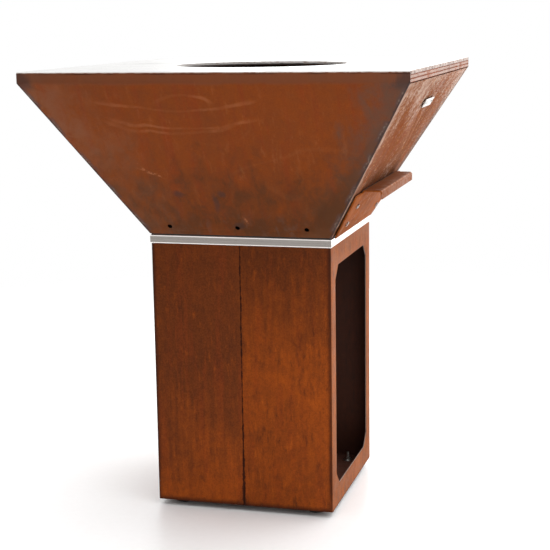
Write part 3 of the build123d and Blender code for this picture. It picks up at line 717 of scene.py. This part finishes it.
def bowl_side_rust(surface):
    """Patina of the side walls of the bowl."""
    main = surface.colours.side_rust
    rust = surface.rust((1, 24, 4), (50, 24, 110), Main=main, Clouds=0.4, Runs=0.5, Flecks=0.45, Grain=0.9)
    wall = weather_wall(surface, surface.y)
    lay_tide_lines(surface)
    lay_bloom(surface, wall)
    close_wall(surface, wall, rust, 0.03)


def drawer_rust(surface):
    """Orange brown patina of the drawer's front: scuffed and darker at its lip, and dulled on its shelf as
    painted shade.
    """
    colours = surface.colours
    main = colours.drawer_rust
    rust = surface.rust((8, 40, 8), (60, 110, 60), Main=main, Clouds=0.5, Runs=0.3, Flecks=0.6, Grain=1.0)
    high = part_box("drawer_front")[1]
    handled = surface.x.step(high.x - 0.03, high.x - 0.004, 0.0, 0.16)
    scuffs = surface.noise((40, 90, 40), 7.0, 0.72) + handled
    surface.lay(scuffs.step(0.55, 0.72, 0.0, 0.6), colours.bloom_and_highlight)
    surface.lay(surface.x.at_face(high.x, 0.55), colours.rust_dark)
    # Painted shade: the top of the shelf is dulled towards grey brown, for the bowl's shadow on it.
    surface.lay(surface.z.step(high.z - 0.0014, high.z - 0.0006, 0.0, 0.5), colours.mill_scale_and_shade)
    surface.finish(*rust, 0.0005, specular=0.03)


def rim_edges(surface):
    """Cut edges of the stacked rim plates: pale, with rust in the grooves between them."""
    main = surface.colours.rust
    rust = surface.rust((12, 12, 60), (60, 60, 140), Main=main, Clouds=1.0, Runs=0.4, Flecks=0.5, Grain=1.0)
    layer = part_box("plate_seat_frame")[0].z - wall_fold
    depth = (surface.z - wall_fold).wave(layer / 2)
    chips = surface.noise(60.0, 7.0, 0.7) - 0.5
    clean = (chips * 0.006 + depth).step(0.0008, 0.0022, 0.0, 0.72)
    patches = surface.noise(17.0, 8.0, 0.72).step(0.62, 0.48, 0.2, 1.0)
    surface.lay(clean * patches, surface.colours.cut_edge_and_highlight)
    surface.finish(*rust, 0.0004, specular=0.15)


def store_rust(surface):
    """Patina of the wood store: orange rust low down, which also paints light from the floor and shade under
    the bowl; paler sides as a painted sheen; dark along its edges; painted shade inside; and a painted
    highlight on the cut faces around its opening.
    """
    colours, z = surface.colours, surface.z
    edge = store_high.x
    from_seam = abs(surface.x)
    from_middle = abs(surface.y)
    drift = surface.noise(7.0, 6.0, 0.64, 0.3) - 0.5
    drips = surface.noise((75, 75, 7), 6.0, 0.66) - 0.5
    level = z - surface.x.step(-0.001, 0.001, 0.0, 0.29)
    # Fresh orange rust low down, reaching higher on the right shell. It also paints light and shade: lighter
    # near the floor, and darker high up where the bowl shades the store.
    fresh_and_lit = (drips * 0.5 + (drift * 0.3 + level)).step(0.34, -0.02)
    # The side faces of the store get a paler orange: a painted sheen.
    side = from_seam.at_face(edge)
    main = surface.blend(fresh_and_lit, colours.store_rust, colours.store_orange)
    rust = surface.rust(
        (50, 50, 4), (110, 110, 24),
        Main=surface.blend(side, main, colours.store_side_sheen),
        Dark=colours.store_dark,
        Pale=surface.blend(fresh_and_lit, colours.store_orange, colours.store_fleck),
        Clouds=0.3, Runs=0.3, Flecks=0.8, Grain=1.1,
    )
    # Painted shade: the inner faces of the store's sheets are darkened and greyed.
    shadowed = surface.blend(0.85, surface.colour, colours.store_inside)
    rim = least(edge - least(from_seam, from_middle), z - store_low.z) * (side * 3.0 + 1.0)
    surface.lay((drips * 0.012 + rim).step(0.013, 0.001, 0.0, 0.8), colours.seam_dark)
    gap = z.step(0.24, 0.05, 0.3, 1.0) * 0.0034
    flakes = surface.noise((110, 110, 60), 6.0, 0.7) - 0.5
    surface.lay((flakes * 0.014 + from_seam - gap).step(0.001, -0.001, 0.0, 0.9), colours.seam_dark)
    surface.lay(most(from_seam, from_middle).step(edge - 0.0017, edge - 0.0021), shadowed)
    # Painted highlight: the cut faces of the sheets around the opening are laid in the pale colour of cut
    # steel.
    sheet = from_seam.step(edge - 0.0027, edge - 0.0023) * from_seam.step(edge - 0.0003, edge - 0.0007)
    opening = from_middle.step(store_high.y - 0.01, store_high.y - 0.012, 0.0, 0.75)
    surface.lay(sheet * opening, colours.cut_edge_and_highlight)
    surface.finish(*rust, 0.0005, specular=0.08)


def brush_spacer(surface, steel, lines):
    """Brushed bar of the spacer frame, with painted highlights along its rounded top and bottom edges."""
    brushed = surface.brush(steel, lines, 0.25)
    low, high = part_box("spacer_bar_front")
    top = surface.z.step(high.z - 0.0036, high.z - 0.0024)
    bottom = surface.z.step(low.z + 0.0036, low.z + 0.0024, 0.0, 0.85)
    # Painted highlights: near-white lines along the rounded top and bottom edges.
    surface.lay(most(top, bottom), surface.colours.edge_highlight)
    surface.finish(*brushed, 0.00004, 1.0)


def spacer_along_x(surface):
    """Front and back bar of the spacer frame."""
    brush_spacer(surface, surface.colours.bright_steel, (3, 900, 900))


def spacer_along_y(surface):
    """Side bars of the spacer frame, in a paler copy of the steel of the front and back bars: painted light
    for the light that falls on their sides.
    """
    brush_spacer(surface, surface.colours.lit_side_steel, (900, 3, 900))


def brushed_along_y(surface):
    """Brushed badge plate."""
    brushed = surface.brush(surface.colours.bright_steel, (900, 3, 900), 0.25)
    surface.finish(*brushed, 0.00004, 1.0)


def ground_plate(surface):
    """Ground cooking plate, with scaled cut edges where the fire and the rain reach it."""
    colours = surface.colours
    roughness, height = surface.brush(colours.plate_steel, (5, 420, 420), 0.45)
    low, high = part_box("cooking_plate")
    level = surface.z - low.z
    mottle = surface.noise(70.0, 8.0, 0.72)
    ends = most(abs(surface.x), abs(surface.y)).at_face(high.x)
    scaled = surface.blend(mottle.step(0.42, 0.62), colours.cut_edge_and_highlight, colours.mill_scale_and_shade)
    scaled = surface.blend(level.step(0.0022, 0.0004, 0.0, 0.8), scaled, colours.rust_dark)
    surface.lay(ends, scaled)
    away = surface.vector_math("LENGTH", surface.put("ShaderNodeCombineXYZ", X=surface.x, Y=surface.y))
    hole = away.step(PLATE_OPENING + FACE_START, PLATE_OPENING + FACE_FULL)
    heated = surface.blend(mottle.step(0.46, 0.64, 0.3, 0.9), colours.plate_steel, colours.cut_edge_and_highlight)
    scorched = ((mottle - 0.5) * 0.006 + level).step(0.0032, 0.0021, 0.0, 0.95)
    surface.lay(hole, surface.blend(scorched, heated, colours.seam_dark))
    metallic = 1.0 - most(ends, hole * scorched)
    surface.finish(most(roughness, most(hole, ends) * 0.6), height, 0.00004, metallic)


def sooted_sheet(surface):
    """Sheet that the fire has blackened."""
    soot = surface.soot(surface.colours.soot)
    surface.colour = soot["Colour"]
    surface.finish(soot["Roughness"], soot["Height"], 0.0006)


def cast_grate(surface):
    """Sand-cast iron with soot and ash."""
    soot = surface.soot(surface.colours.cast_iron)
    surface.colour = soot["Colour"]
    surface.finish(soot["Roughness"], soot["Height"] * 0.4 + surface.noise(700.0, 3.0, 0.6) * 0.6, 0.0008)


def plate_with_zinc(surface, *rusted):
    """Zinc plating with its faint spangle. rusted is the step from a noise to its cover of rust."""
    spangle = surface.put("ShaderNodeTexVoronoi", "Color", Vector=surface.spot, Scale=600.0)
    grey = surface.put("ShaderNodeSeparateColor", Color=spangle)
    surface.colour = surface.colours.zinc
    surface.shade(grey.step(0.0, 1.0, 0.85, 1.05))
    surface.lay(surface.noise(220.0, 4.0, 0.6).step(*rusted), surface.colours.rust_dark)
    surface.finish(grey.step(0.0, 1.0, 0.26, 0.4), grey, 0.00002, 1.0)


def zinc(surface):
    """Plating with a few rust spots."""
    plate_with_zinc(surface, 0.6, 0.72, 0.0, 0.6)


def weathered_zinc(surface):
    """Plating that rust has mostly covered."""
    plate_with_zinc(surface, 0.42, 0.56, 0.4, 0.9)


def foot_plastic(surface):
    """Black moulded plastic with fine texture and dust."""
    surface.colour = surface.colours.plastic
    surface.lay(surface.noise(90.0, 6.0, 0.7).step(0.5, 0.75, 0.0, 0.25), surface.colours.ash)
    grain = surface.noise(900.0, 3.0, 0.5)
    surface.finish(grain.step(0.3, 0.7, 0.45, 0.62), grain, 0.0001)


# Modelling helpers


def select_only(piece):
    bpy.ops.object.select_all(action="DESELECT")
    piece.select_set(True)
    bpy.context.view_layer.objects.active = piece


def wear(mesh, finish):
    """Gives a mesh its finish as its only material."""
    mesh.materials.clear()
    mesh.materials.append(made(finish))


def dress(piece, body, slot, finish, *nodes):
    """Gives a finished piece its material and body, and lets it stand for CAD nodes. The slot is not used.
    """
    wear(piece.data, finish)
    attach(piece, body)
    if nodes:
        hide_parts(*nodes)


def body_of_node(node):
    return next(body for body, nodes in frame["record"]["behaviour"]["bodies"].items() if node in nodes)


def slot_of_node(node):
    return next(row["material_slot"] for row in frame["record"]["subparts"] if row["node"] == node)


def stand_in(piece, node, finish):
    """Names, smooths and dresses a piece that stands for a CAD node."""
    piece.name = node + "_dressed"
    select_only(piece)
    bpy.ops.object.shade_smooth_by_angle(angle=SMOOTH_ANGLE)
    dress(piece, body_of_node(node), slot_of_node(node), finish, node)


def soften(finish, width, segments, *nodes):
    """Copies of CAD pieces whose sharp edges are rounded, as cut and brushed steel has them."""
    for node in nodes:
        select_only(frame["nodes"][node])
        bpy.ops.object.duplicate()
        piece = bpy.context.view_layer.objects.active
        for key in [key for key in piece.keys() if key.startswith("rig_")]:
            del piece[key]
        piece.parent = None
        bpy.ops.object.mode_set(mode="EDIT")
        bpy.ops.mesh.select_all(action="SELECT")
        bpy.ops.mesh.customdata_custom_splitnormals_clear()
        bpy.ops.mesh.remove_doubles(threshold=SAME_CORNER)
        bpy.ops.mesh.dissolve_limited(angle_limit=FLAT_ANGLE)
        bpy.ops.object.mode_set(mode="OBJECT")
        bevel = piece.modifiers.new("edge", "BEVEL")
        bevel.width = width
        bevel.segments = segments
        bevel.limit_method = "ANGLE"
        bevel.angle_limit = SHARP_ANGLE
        bevel.use_clamp_overlap = False
        bpy.ops.object.modifier_apply(modifier="edge")
        stand_in(piece, node, finish)


def paint(finish, *nodes):
    """Gives CAD pieces their finish."""
    for node in nodes:
        wear(frame["nodes"][node].data, finish)


def solids_of(node, axis):
    """Places of the like solids of a CAD node, each turned along an axis, and their length on it."""
    shape = bmesh.new()
    shape.from_mesh(frame["nodes"][node].data)
    bmesh.ops.remove_doubles(shape, verts=shape.verts, dist=SAME_CORNER)
    first = axis.orthogonal().normalized()
    second = axis.cross(first)
    turn = Matrix((first, second, axis)).transposed().to_4x4()
    waiting = set(shape.verts)
    places = []
    for start in shape.verts:
        if start not in waiting:
            continue
        waiting.remove(start)
        island = [start]
        for corner in island:
            near = {edge.other_vert(corner) for edge in corner.link_edges} & waiting
            waiting -= near
            island.extend(near)
        spans = [[corner.co.dot(side) for corner in island] for side in (first, second, axis)]
        (left, right), (under, over), (bottom, top) = [(min(span), max(span)) for span in spans]
        middle = first * (left + right) / 2 + second * (under + over) / 2 + axis * bottom
        places.append(Matrix.Translation(middle) @ turn)
    shape.free()
    return places, top - bottom


@contextmanager
def editing(piece, kind, chosen):
    """Edit mode on a piece, with only the edges or faces selected that pass a test."""
    select_only(piece)
    bpy.ops.object.mode_set(mode="EDIT")
    bpy.ops.mesh.select_mode(type=kind)
    bpy.ops.mesh.select_all(action="DESELECT")
    shape = bmesh.from_edit_mesh(piece.data)
    for element in shape.edges if kind == "EDGE" else shape.faces:
        element.select_set(chosen(element))
    bmesh.update_edit_mesh(piece.data)
    yield
    bpy.ops.object.mode_set(mode="OBJECT")


def level_edge(level):
    """Test for edges that lie at a level."""
    return lambda edge: all(abs(corner.co.z - level) < SAME_CORNER for corner in edge.verts)


def facing(up):
    """Test for faces turned up, with 1, or down, with -1."""
    return lambda face: face.normal.z * up > NEARLY_ALL


def extrude(rise, share=1.0):
    """Extrudes the selected faces upwards, and then scales them level."""
    bpy.ops.mesh.extrude_region_move(TRANSFORM_OT_translate={"value": (0, 0, rise)})
    if share != 1.0:
        bpy.ops.transform.resize(value=(share, share, 1))


def add_rod(sides, radius, low, high):
    """Straight prism on the Z axis."""
    bpy.ops.object.select_all(action="DESELECT")
    bpy.ops.mesh.primitive_cylinder_add(
        vertices=sides, radius=radius, depth=high - low, location=(0, 0, (low + high) / 2)
    )
    bpy.ops.object.transform_apply(location=True, rotation=True, scale=True)
    return bpy.context.active_object


def add_turned(radius, low, high, face_radius, step):
    """Turned rod whose ends are stepped to another radius by a cone of that height."""
    blank = add_rod(TURNED_SIDES, radius, low + step, high - step)
    for up in (1, -1):
        with editing(blank, "FACE", facing(up)):
            extrude(up * step, face_radius / radius)
    return blank


def add_dome(sides, radius, low, high, crown, rounding, segments):
    """Head of a bolt or rivet, rounded at the level of its crown."""
    head = add_rod(sides, radius, low, high)
    with editing(head, "EDGE", level_edge(crown)):
        bpy.ops.mesh.bevel(offset=rounding, segments=segments, affect="EDGES")
    return head


def cut(piece, tool, operation="DIFFERENCE"):
    """Applies a boolean with a tool, and puts the tool away."""
    select_only(piece)
    boolean = piece.modifiers.new("cut", "BOOLEAN")
    boolean.operation = operation
    boolean.solver = "EXACT"
    boolean.object = tool
    bpy.ops.object.modifier_apply(modifier="cut")
    bpy.data.objects.remove(tool)
    return piece


def join(first, *others):
    select_only(first)
    for other in others:
        other.select_set(True)
    bpy.ops.object.join()
    return first


def hexagon(flats, low, high):
    """Hexagon bar whose corners are turned off at both ends."""
    corner = flats / math.sqrt(3)
    bar = add_rod(6, corner, low - TOOL_OVER, high + TOOL_OVER)
    tool = add_turned(corner * CORNER_CLEAR, low, high, flats * HEX_FACE, flats * HEX_CHAMFER)
    return cut(bar, tool, "INTERSECT")


def nut(flats, bore, height):
    """Hexagon nut on the floor of its own axes, with countersunk mouths."""
    drill = add_turned(bore, -MOUTH_OVER, height + MOUTH_OVER, bore * MOUTH_RADIUS, bore * MOUTH_DEPTH)
    return cut(hexagon(flats, 0, height), drill)


def threaded_rod(radius, pitch, high, chamfer):
    """Rod with a V thread: one tooth, wound up by a screw modifier and cut off with chamfered ends."""
    depth = pitch * THREAD_DEPTH
    bpy.ops.object.select_all(action="DESELECT")
    bpy.ops.mesh.primitive_plane_add(size=pitch)
    rod = bpy.context.active_object
    bpy.ops.object.mode_set(mode="EDIT")
    bpy.ops.mesh.select_mode(type="VERT")
    bpy.ops.mesh.select_all(action="SELECT")
    bpy.ops.mesh.merge(type="CENTER")
    bpy.ops.transform.translate(value=(radius - depth, 0, -2 * pitch))
    for out, rise in ((depth, THREAD_FLANK), (0, THREAD_CREST), (-depth, THREAD_FLANK)):
        bpy.ops.mesh.extrude_vertices_move(TRANSFORM_OT_translate={"value": (out, 0, pitch * rise)})
    bpy.ops.object.mode_set(mode="OBJECT")
    screw = rod.modifiers.new("thread", "SCREW")
    screw.screw_offset = pitch
    screw.iterations = math.ceil(high / pitch) + 4
    screw.steps = THREAD_STEPS
    screw.render_steps = THREAD_STEPS
    bpy.ops.object.modifier_apply(modifier="thread")
    bpy.ops.object.mode_set(mode="EDIT")
    for level, outwards in ((-pitch / 2, -1), (high + pitch / 2, 1)):
        bpy.ops.mesh.select_all(action="SELECT")
        bpy.ops.mesh.remove_doubles(threshold=SAME_THREAD)
        # The default threshold is so much of a pitch that the filled ends would not close
        bpy.ops.mesh.bisect(
            plane_co=(0, 0, level), plane_no=(0, 0, outwards), threshold=SAME_CORNER,
            use_fill=True, clear_outer=True,
        )
    bpy.ops.mesh.select_all(action="SELECT")
    bpy.ops.mesh.normals_make_consistent(inside=False)
    bpy.ops.object.mode_set(mode="OBJECT")
    tool = add_turned(radius * CREST_CLEAR, 0, high, radius - chamfer, chamfer)
    return cut(rod, tool, "INTERSECT")


def copies_at(model, places):
    """Copies of a model at several places, as one piece."""
    copies = []
    for spot in places:
        select_only(model)
        bpy.ops.object.duplicate()
        copies.append(bpy.context.active_object)
        copies[-1].matrix_world = spot
        bpy.ops.object.transform_apply(location=True, rotation=True, scale=True)
    return join(*copies)


def stand_for(model, axis, finish, *nodes):
    """Puts copies of a model in place of the solids of CAD nodes, and puts the model away."""
    for node in nodes:
        stand_in(copies_at(model, solids_of(node, axis)[0]), node, finish)
    bpy.data.objects.remove(model)


# Operators, one for each group of pieces


class GRILL_OT_wood_store(bpy.types.Operator):
    """Dress the two shells, straps, floor and top plate of the wood store"""

    bl_idname = "grill.wood_store"
    bl_label = "Wood store"

    def execute(self, context):
        edge = context.scene.grill_sizes.sheet_edge
        soften(store_rust, edge, 2, "pedestal_left_shell", "pedestal_right_shell")
        paint(store_rust, "seam_strap_front", "seam_strap_back", "pedestal_floor", "pedestal_top_plate")
        return {"FINISHED"}


class GRILL_OT_spacer_frame(bpy.types.Operator):
    """Dress the four bright bars between store and bowl"""

    bl_idname = "grill.spacer_frame"
    bl_label = "Spacer frame"

    def execute(self, context):
        paint(spacer_along_x, "spacer_bar_front", "spacer_bar_back")
        paint(spacer_along_y, "spacer_bar_left", "spacer_bar_right")
        return {"FINISHED"}


class GRILL_OT_fire_bowl(bpy.types.Operator):
    """Dress the walls, base plate and rim frames of the fire bowl"""

    bl_idname = "grill.fire_bowl"
    bl_label = "Fire bowl"

    def execute(self, context):
        edge = context.scene.grill_sizes.sheet_edge
        soften(bowl_front_rust, edge, 2, "bowl_front_wall", "bowl_back_wall")
        soften(bowl_side_rust, edge, 2, "bowl_left_wall", "bowl_right_wall")
        paint(rim_edges, "rim_frame", "plate_seat_frame")
        paint(sooted_sheet, "bowl_base_plate")
        return {"FINISHED"}


class GRILL_OT_cooking_plate(bpy.types.Operator):
    """Dress the cooking plate"""

    bl_idname = "grill.cooking_plate"
    bl_label = "Cooking plate"

    def execute(self, context):
        paint(ground_plate, "cooking_plate")
        return {"FINISHED"}


class GRILL_OT_fire_bed(bpy.types.Operator):
    """Dress the fire floor and the cast grate"""

    bl_idname = "grill.fire_bed"
    bl_label = "Fire floor and grate"

    def execute(self, context):
        paint(sooted_sheet, "fire_floor")
        soften(cast_grate, context.scene.grill_sizes.bar_edge, 3, "fire_grate")
        return {"FINISHED"}


class GRILL_OT_ash_drawer(bpy.types.Operator):
    """Dress the ash drawer and its rails"""

    bl_idname = "grill.ash_drawer"
    bl_label = "Ash drawer"

    def execute(self, context):
        soften(drawer_rust, context.scene.grill_sizes.sheet_edge, 2, "drawer_front")
        paint(sooted_sheet, "drawer_tray", "drawer_rail_front", "drawer_rail_back")
        return {"FINISHED"}


class GRILL_OT_nuts(bpy.types.Operator):
    """Model the nuts and washers of feet, bowl and drawer"""

    bl_idname = "grill.nuts"
    bl_label = "Nuts and washers"

    def execute(self, context):
        sizes = context.scene.grill_sizes
        for node, axis, flats, radius in (
            ("foot_bearing_nuts", UP, sizes.foot_flats, sizes.stud_radius),
            ("foot_lock_nuts", UP, sizes.foot_flats, sizes.stud_radius),
            ("bowl_nuts", UP, sizes.bolt_flats, sizes.bolt_radius),
            ("drawer_nuts", DRAWER_OUT, sizes.bolt_flats, sizes.bolt_radius),
        ):
            model = nut(flats, radius * BORE_CLEAR, solids_of(node, axis)[1])
            stand_for(model, axis, zinc, node)
        soften(zinc, sizes.washer_edge, 3, "foot_washers", "bowl_washers", "badge_spacers")
        return {"FINISHED"}


class GRILL_OT_bolts(bpy.types.Operator):
    """Model the button-head bolts of the drawer and the hexagon bolts of the bowl"""

    bl_idname = "grill.bolts"
    bl_label = "Bolts"

    def execute(self, context):
        sizes = context.scene.grill_sizes
        length = solids_of("drawer_bolts", DRAWER_OUT)[1]
        seat = length - sizes.button_head
        head = add_dome(TURNED_SIDES, sizes.button_radius, seat, length, length, sizes.button_dome, 6)
        socket_floor = length - sizes.socket_depth
        cut(head, add_rod(6, sizes.socket_flats / math.sqrt(3), socket_floor, length + TOOL_OVER))
        stand_for(self.on_shank(head, seat, sizes), DRAWER_OUT, weathered_zinc, "drawer_bolts")
        length = solids_of("bowl_bolts", UP)[1]
        seat = length - sizes.hex_head
        head = hexagon(sizes.bolt_flats, seat, length)
        stand_for(self.on_shank(head, seat, sizes), UP, zinc, "bowl_bolts")
        return {"FINISHED"}

    def on_shank(self, head, seat, sizes):
        """Bolt of a head and the threaded shank under it."""
        return join(head, threaded_rod(sizes.bolt_radius, sizes.fine_pitch, seat, sizes.thread_chamfer))


class GRILL_OT_feet(bpy.types.Operator):
    """Model the levelling feet: threaded studs in moulded pads"""

    bl_idname = "grill.feet"
    bl_label = "Levelling feet"

    def execute(self, context):
        sizes = context.scene.grill_sizes
        length = solids_of("foot_stud_front_left", UP)[1]
        stud = threaded_rod(sizes.stud_radius, sizes.coarse_pitch, length, sizes.thread_chamfer)
        stand_for(stud, UP, zinc, *["foot_stud_" + corner for corner in FOOT_CORNERS])
        pad = self.mould_pad(sizes)
        stand_for(pad, UP, foot_plastic, *["foot_pad_" + corner for corner in FOOT_CORNERS])
        return {"FINISHED"}

    def mould_pad(self, sizes):
        """Pad with a notched rim, a sloping shoulder, a socket for the stud and a hollow underneath."""
        low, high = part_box("foot_pad_front_left")
        radius = (high.x - low.x) / 2
        sides = 4 * sizes.pad_notches
        under_edge = level_edge(0)

        def outer_edge(edge):
            return under_edge(edge) and all(corner.co.length > radius * NEARLY_ALL for corner in edge.verts)

        def notched(face):
            middle = face.calc_center_median()
            turn = math.atan2(middle.y, middle.x) / math.tau * sides
            return abs(face.normal.z) < 0.01 and middle.xy.length > radius * 0.9 and math.floor(turn) % 4 < 2

        pad = add_rod(sides, radius, 0, sizes.pad_rim)
        with editing(pad, "FACE", facing(1)):
            extrude(high.z - low.z - sizes.pad_rim, sizes.pad_shoulder / radius)
            bpy.ops.mesh.inset(thickness=sizes.pad_shoulder - sizes.stud_radius)
            extrude(-sizes.stud_seat)
        with editing(pad, "FACE", facing(-1)):
            bpy.ops.mesh.inset(thickness=radius / 4)
            bpy.ops.mesh.inset(thickness=sizes.pad_notch, depth=-sizes.pad_notch)
        with editing(pad, "EDGE", outer_edge):
            bpy.ops.mesh.bevel(offset=sizes.pad_edge, segments=3, affect="EDGES")
        with editing(pad, "FACE", notched):
            bpy.ops.mesh.inset(thickness=sizes.pad_notch / 2, depth=-sizes.pad_notch)
        return pad


class GRILL_OT_badge(bpy.types.Operator):
    """Dress the bare badge plate and model its rivets"""

    bl_idname = "grill.badge"
    bl_label = "Badge plate"

    def execute(self, context):
        sizes = context.scene.grill_sizes
        soften(brushed_along_y, sizes.sheet_edge, 3, "badge_plate")
        length = solids_of("badge_rivets", DRAWER_OUT)[1]
        head, radius = sizes.rivet_head, sizes.rivet_shank
        ends = [
            add_dome(32, sizes.rivet_radius, low, low + head, crown, head * 0.95, 5)
            for low, crown in ((0, 0), (length - head, length))
        ]
        shank = add_turned(radius, head, length - head, radius * 0.9, radius / 4)
        stand_for(join(shank, *ends), DRAWER_OUT, zinc, "badge_rivets")
        return {"FINISHED"}


class GRILL_OT_welds(bpy.types.Operator):
    """Lay weld beads up the four corners inside the fire bowl"""

    bl_idname = "grill.welds"
    bl_label = "Corner welds"

    def execute(self, context):
        sizes = context.scene.grill_sizes
        start = self.corner(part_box("fire_floor")[1].z + 2 * sizes.bead_radius)
        run = self.corner(wall_fold - 4 * sizes.bead_radius) - start
        bpy.ops.object.select_all(action="DESELECT")
        bpy.ops.mesh.primitive_uv_sphere_add(segments=8, ring_count=6, radius=sizes.bead_radius)
        bead = bpy.context.active_object
        with editing(bead, "FACE", lambda face: True):
            bpy.ops.transform.resize(value=(1, 1, BEAD_FLAT))
            bpy.ops.transform.rotate(value=BEAD_LEAN, orient_axis="X", center_override=(0, 0, 0))
        row = bead.modifiers.new("row", "ARRAY")
        row.count = int(run.length / sizes.bead_pitch)
        row.use_relative_offset = False
        row.use_constant_offset = True
        row.constant_offset_displace = (0, 0, sizes.bead_pitch)
        bpy.ops.object.modifier_apply(modifier="row")
        lean = Matrix.Translation(start) @ run.to_track_quat("Z", "X").to_matrix().to_4x4()
        quarters = [Matrix.Rotation(quarter * math.pi / 2, 4, "Z") for quarter in range(4)]
        welds = copies_at(bead, [quarter @ lean for quarter in quarters])
        bpy.data.objects.remove(bead)
        welds.name = "bowl_corner_welds"
        select_only(welds)
        bpy.ops.object.shade_smooth()
        dress(welds, body_of_node("bowl_front_wall"), slot_of_node("fire_floor"), sooted_sheet)
        return {"FINISHED"}

    def corner(self, level):
        """Inner corner of two bowl walls at a level."""
        half = base_half + wall_slope * (level - wall_foot) - BOWL_SHEET / wall_cos
        return Vector((half, half, level))


class GRILL_OT_studio(bpy.types.Operator):
    """Set up floor, light and camera"""

    bl_idname = "grill.studio"
    bl_label = "Studio"

    def execute(self, context):
        scene = context.scene
        studio = scene.grill_studio
        self.lay_floor(scene.grill_colours, studio.floor_radius)
        self.light_room(scene, studio)
        top = self.hang_lamp("top_lamp", *TOP_BOX, studio.top_lamp)
        top.visible_glossy = False
        self.hang_lamp("back_lamp", *BACK_BOX, studio.back_lamp)
        self.place_camera(scene, studio)
        scene.view_settings.view_transform = "Standard"
        return {"FINISHED"}

    def lay_floor(self, colours, radius):
        """Pale floor that fades out towards its rim."""
        bpy.ops.object.select_all(action="DESELECT")
        bpy.ops.mesh.primitive_circle_add(vertices=96, radius=radius, fill_type="NGON")
        floor = bpy.context.active_object
        floor.name = "studio_floor"
        surface = Surface("studio_floor")
        surface.colour = surface.blend(surface.shown(), colours.floor, WHITE)
        surface.shade(surface.noise(60.0, 4.0, 0.5).step(0.3, 0.7, 0.985, 1.0))
        fill(surface.shader.inputs["Base Color"], surface.colour)
        fill(surface.shader.inputs["Roughness"], 0.32)
        fade = surface.vector_math("LENGTH", surface.spot).step(radius * 0.55, radius * 0.97)
        clear = surface.put("ShaderNodeBsdfTransparent")
        surface.mix_shaders(fade, surface.bsdf, clear, surface.output)
        floor.data.materials.append(surface.material)

    def light_room(self, scene, studio):
        """Room that is bright on one side for the grill, and plain white for what looks at it."""
        world = bpy.data.worlds.new("studio")
        scene.world = world
        world.use_nodes = True
        room = Nodes(world.node_tree)
        room.tree.nodes.clear()
        towards = room.put("ShaderNodeTexCoord", "Generated")
        turned = room.vector_math("DOT_PRODUCT", towards, Vector(studio.light_from).normalized())
        strength = turned.step(-0.55, 0.85, studio.dim_side, studio.bright_side)
        lit = room.put("ShaderNodeBackground", Color=WHITE, Strength=strength)
        plain = room.put("ShaderNodeBackground", Color=WHITE, Strength=1.0)
        room.mix_shaders(room.shown(), lit, plain, room.node("ShaderNodeOutputWorld"))

    def hang_lamp(self, name, spot, width, height, power):
        """Soft box turned towards the grill, out of the camera's sight."""
        bpy.ops.object.light_add(type="AREA", location=spot)
        lamp = bpy.context.active_object
        lamp.name = name
        lamp.data.shape = "RECTANGLE"
        lamp.data.size = width
        lamp.data.size_y = height
        lamp.data.energy = power
        middle = Vector((0, 0, cad_high.z / 2))
        lamp.rotation_euler = (middle - Vector(spot)).to_track_quat("-Z", "Y").to_euler()
        lamp.visible_camera = False
        return lamp

    def place_camera(self, scene, studio):
        """Camera of the photograph."""
        heading, tilt, roll = studio.camera_turn
        turn = Matrix.Rotation(heading, 4, "Z") @ Matrix.Rotation(math.pi / 2 - tilt, 4, "X")
        bpy.ops.object.camera_add()
        camera = bpy.context.active_object
        camera.name = "photo_view"
        camera.matrix_world = Matrix.Translation(studio.camera_place) @ turn @ Matrix.Rotation(roll, 4, "Z")
        camera.data.lens = studio.camera_lens
        camera.data.sensor_width = SENSOR_WIDTH
        scene.camera = camera


class GRILL_PT_panel(bpy.types.Panel):
    """Sidebar list of the grill's operators and settings"""

    bl_label = "Wood-fired grill"
    bl_space_type = "VIEW_3D"
    bl_region_type = "UI"
    bl_category = "Grill"

    def draw(self, context):
        for operator in OPERATORS:
            self.layout.operator(operator.bl_idname)
        for group in SETTINGS:
            settings = getattr(context.scene, group)
            column = self.layout.column()
            for name in settings.__annotations__:
                column.prop(settings, name)


SETTINGS = {"grill_sizes": GrillSizes, "grill_colours": GrillColours, "grill_studio": GrillStudio}
OPERATORS = (
    GRILL_OT_wood_store,
    GRILL_OT_spacer_frame,
    GRILL_OT_fire_bowl,
    GRILL_OT_cooking_plate,
    GRILL_OT_fire_bed,
    GRILL_OT_ash_drawer,
    GRILL_OT_nuts,
    GRILL_OT_bolts,
    GRILL_OT_feet,
    GRILL_OT_badge,
    GRILL_OT_welds,
    GRILL_OT_studio,
)
CLASSES = (*SETTINGS.values(), *OPERATORS, GRILL_PT_panel)


def register():
    for kind in CLASSES:
        bpy.utils.register_class(kind)
    for name, settings in SETTINGS.items():
        setattr(bpy.types.Scene, name, PointerProperty(type=settings))


def unregister():
    for name in SETTINGS:
        delattr(bpy.types.Scene, name)
    for kind in reversed(CLASSES):
        bpy.utils.unregister_class(kind)


def main():
    register()
    bpy.ops.grill.wood_store()
    bpy.ops.grill.spacer_frame()
    bpy.ops.grill.fire_bowl()
    bpy.ops.grill.cooking_plate()
    bpy.ops.grill.fire_bed()
    bpy.ops.grill.ash_drawer()
    bpy.ops.grill.nuts()
    bpy.ops.grill.bolts()
    bpy.ops.grill.feet()
    bpy.ops.grill.badge()
    bpy.ops.grill.welds()
    bpy.ops.grill.studio()
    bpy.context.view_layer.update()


if __name__ == "__main__":
    main()
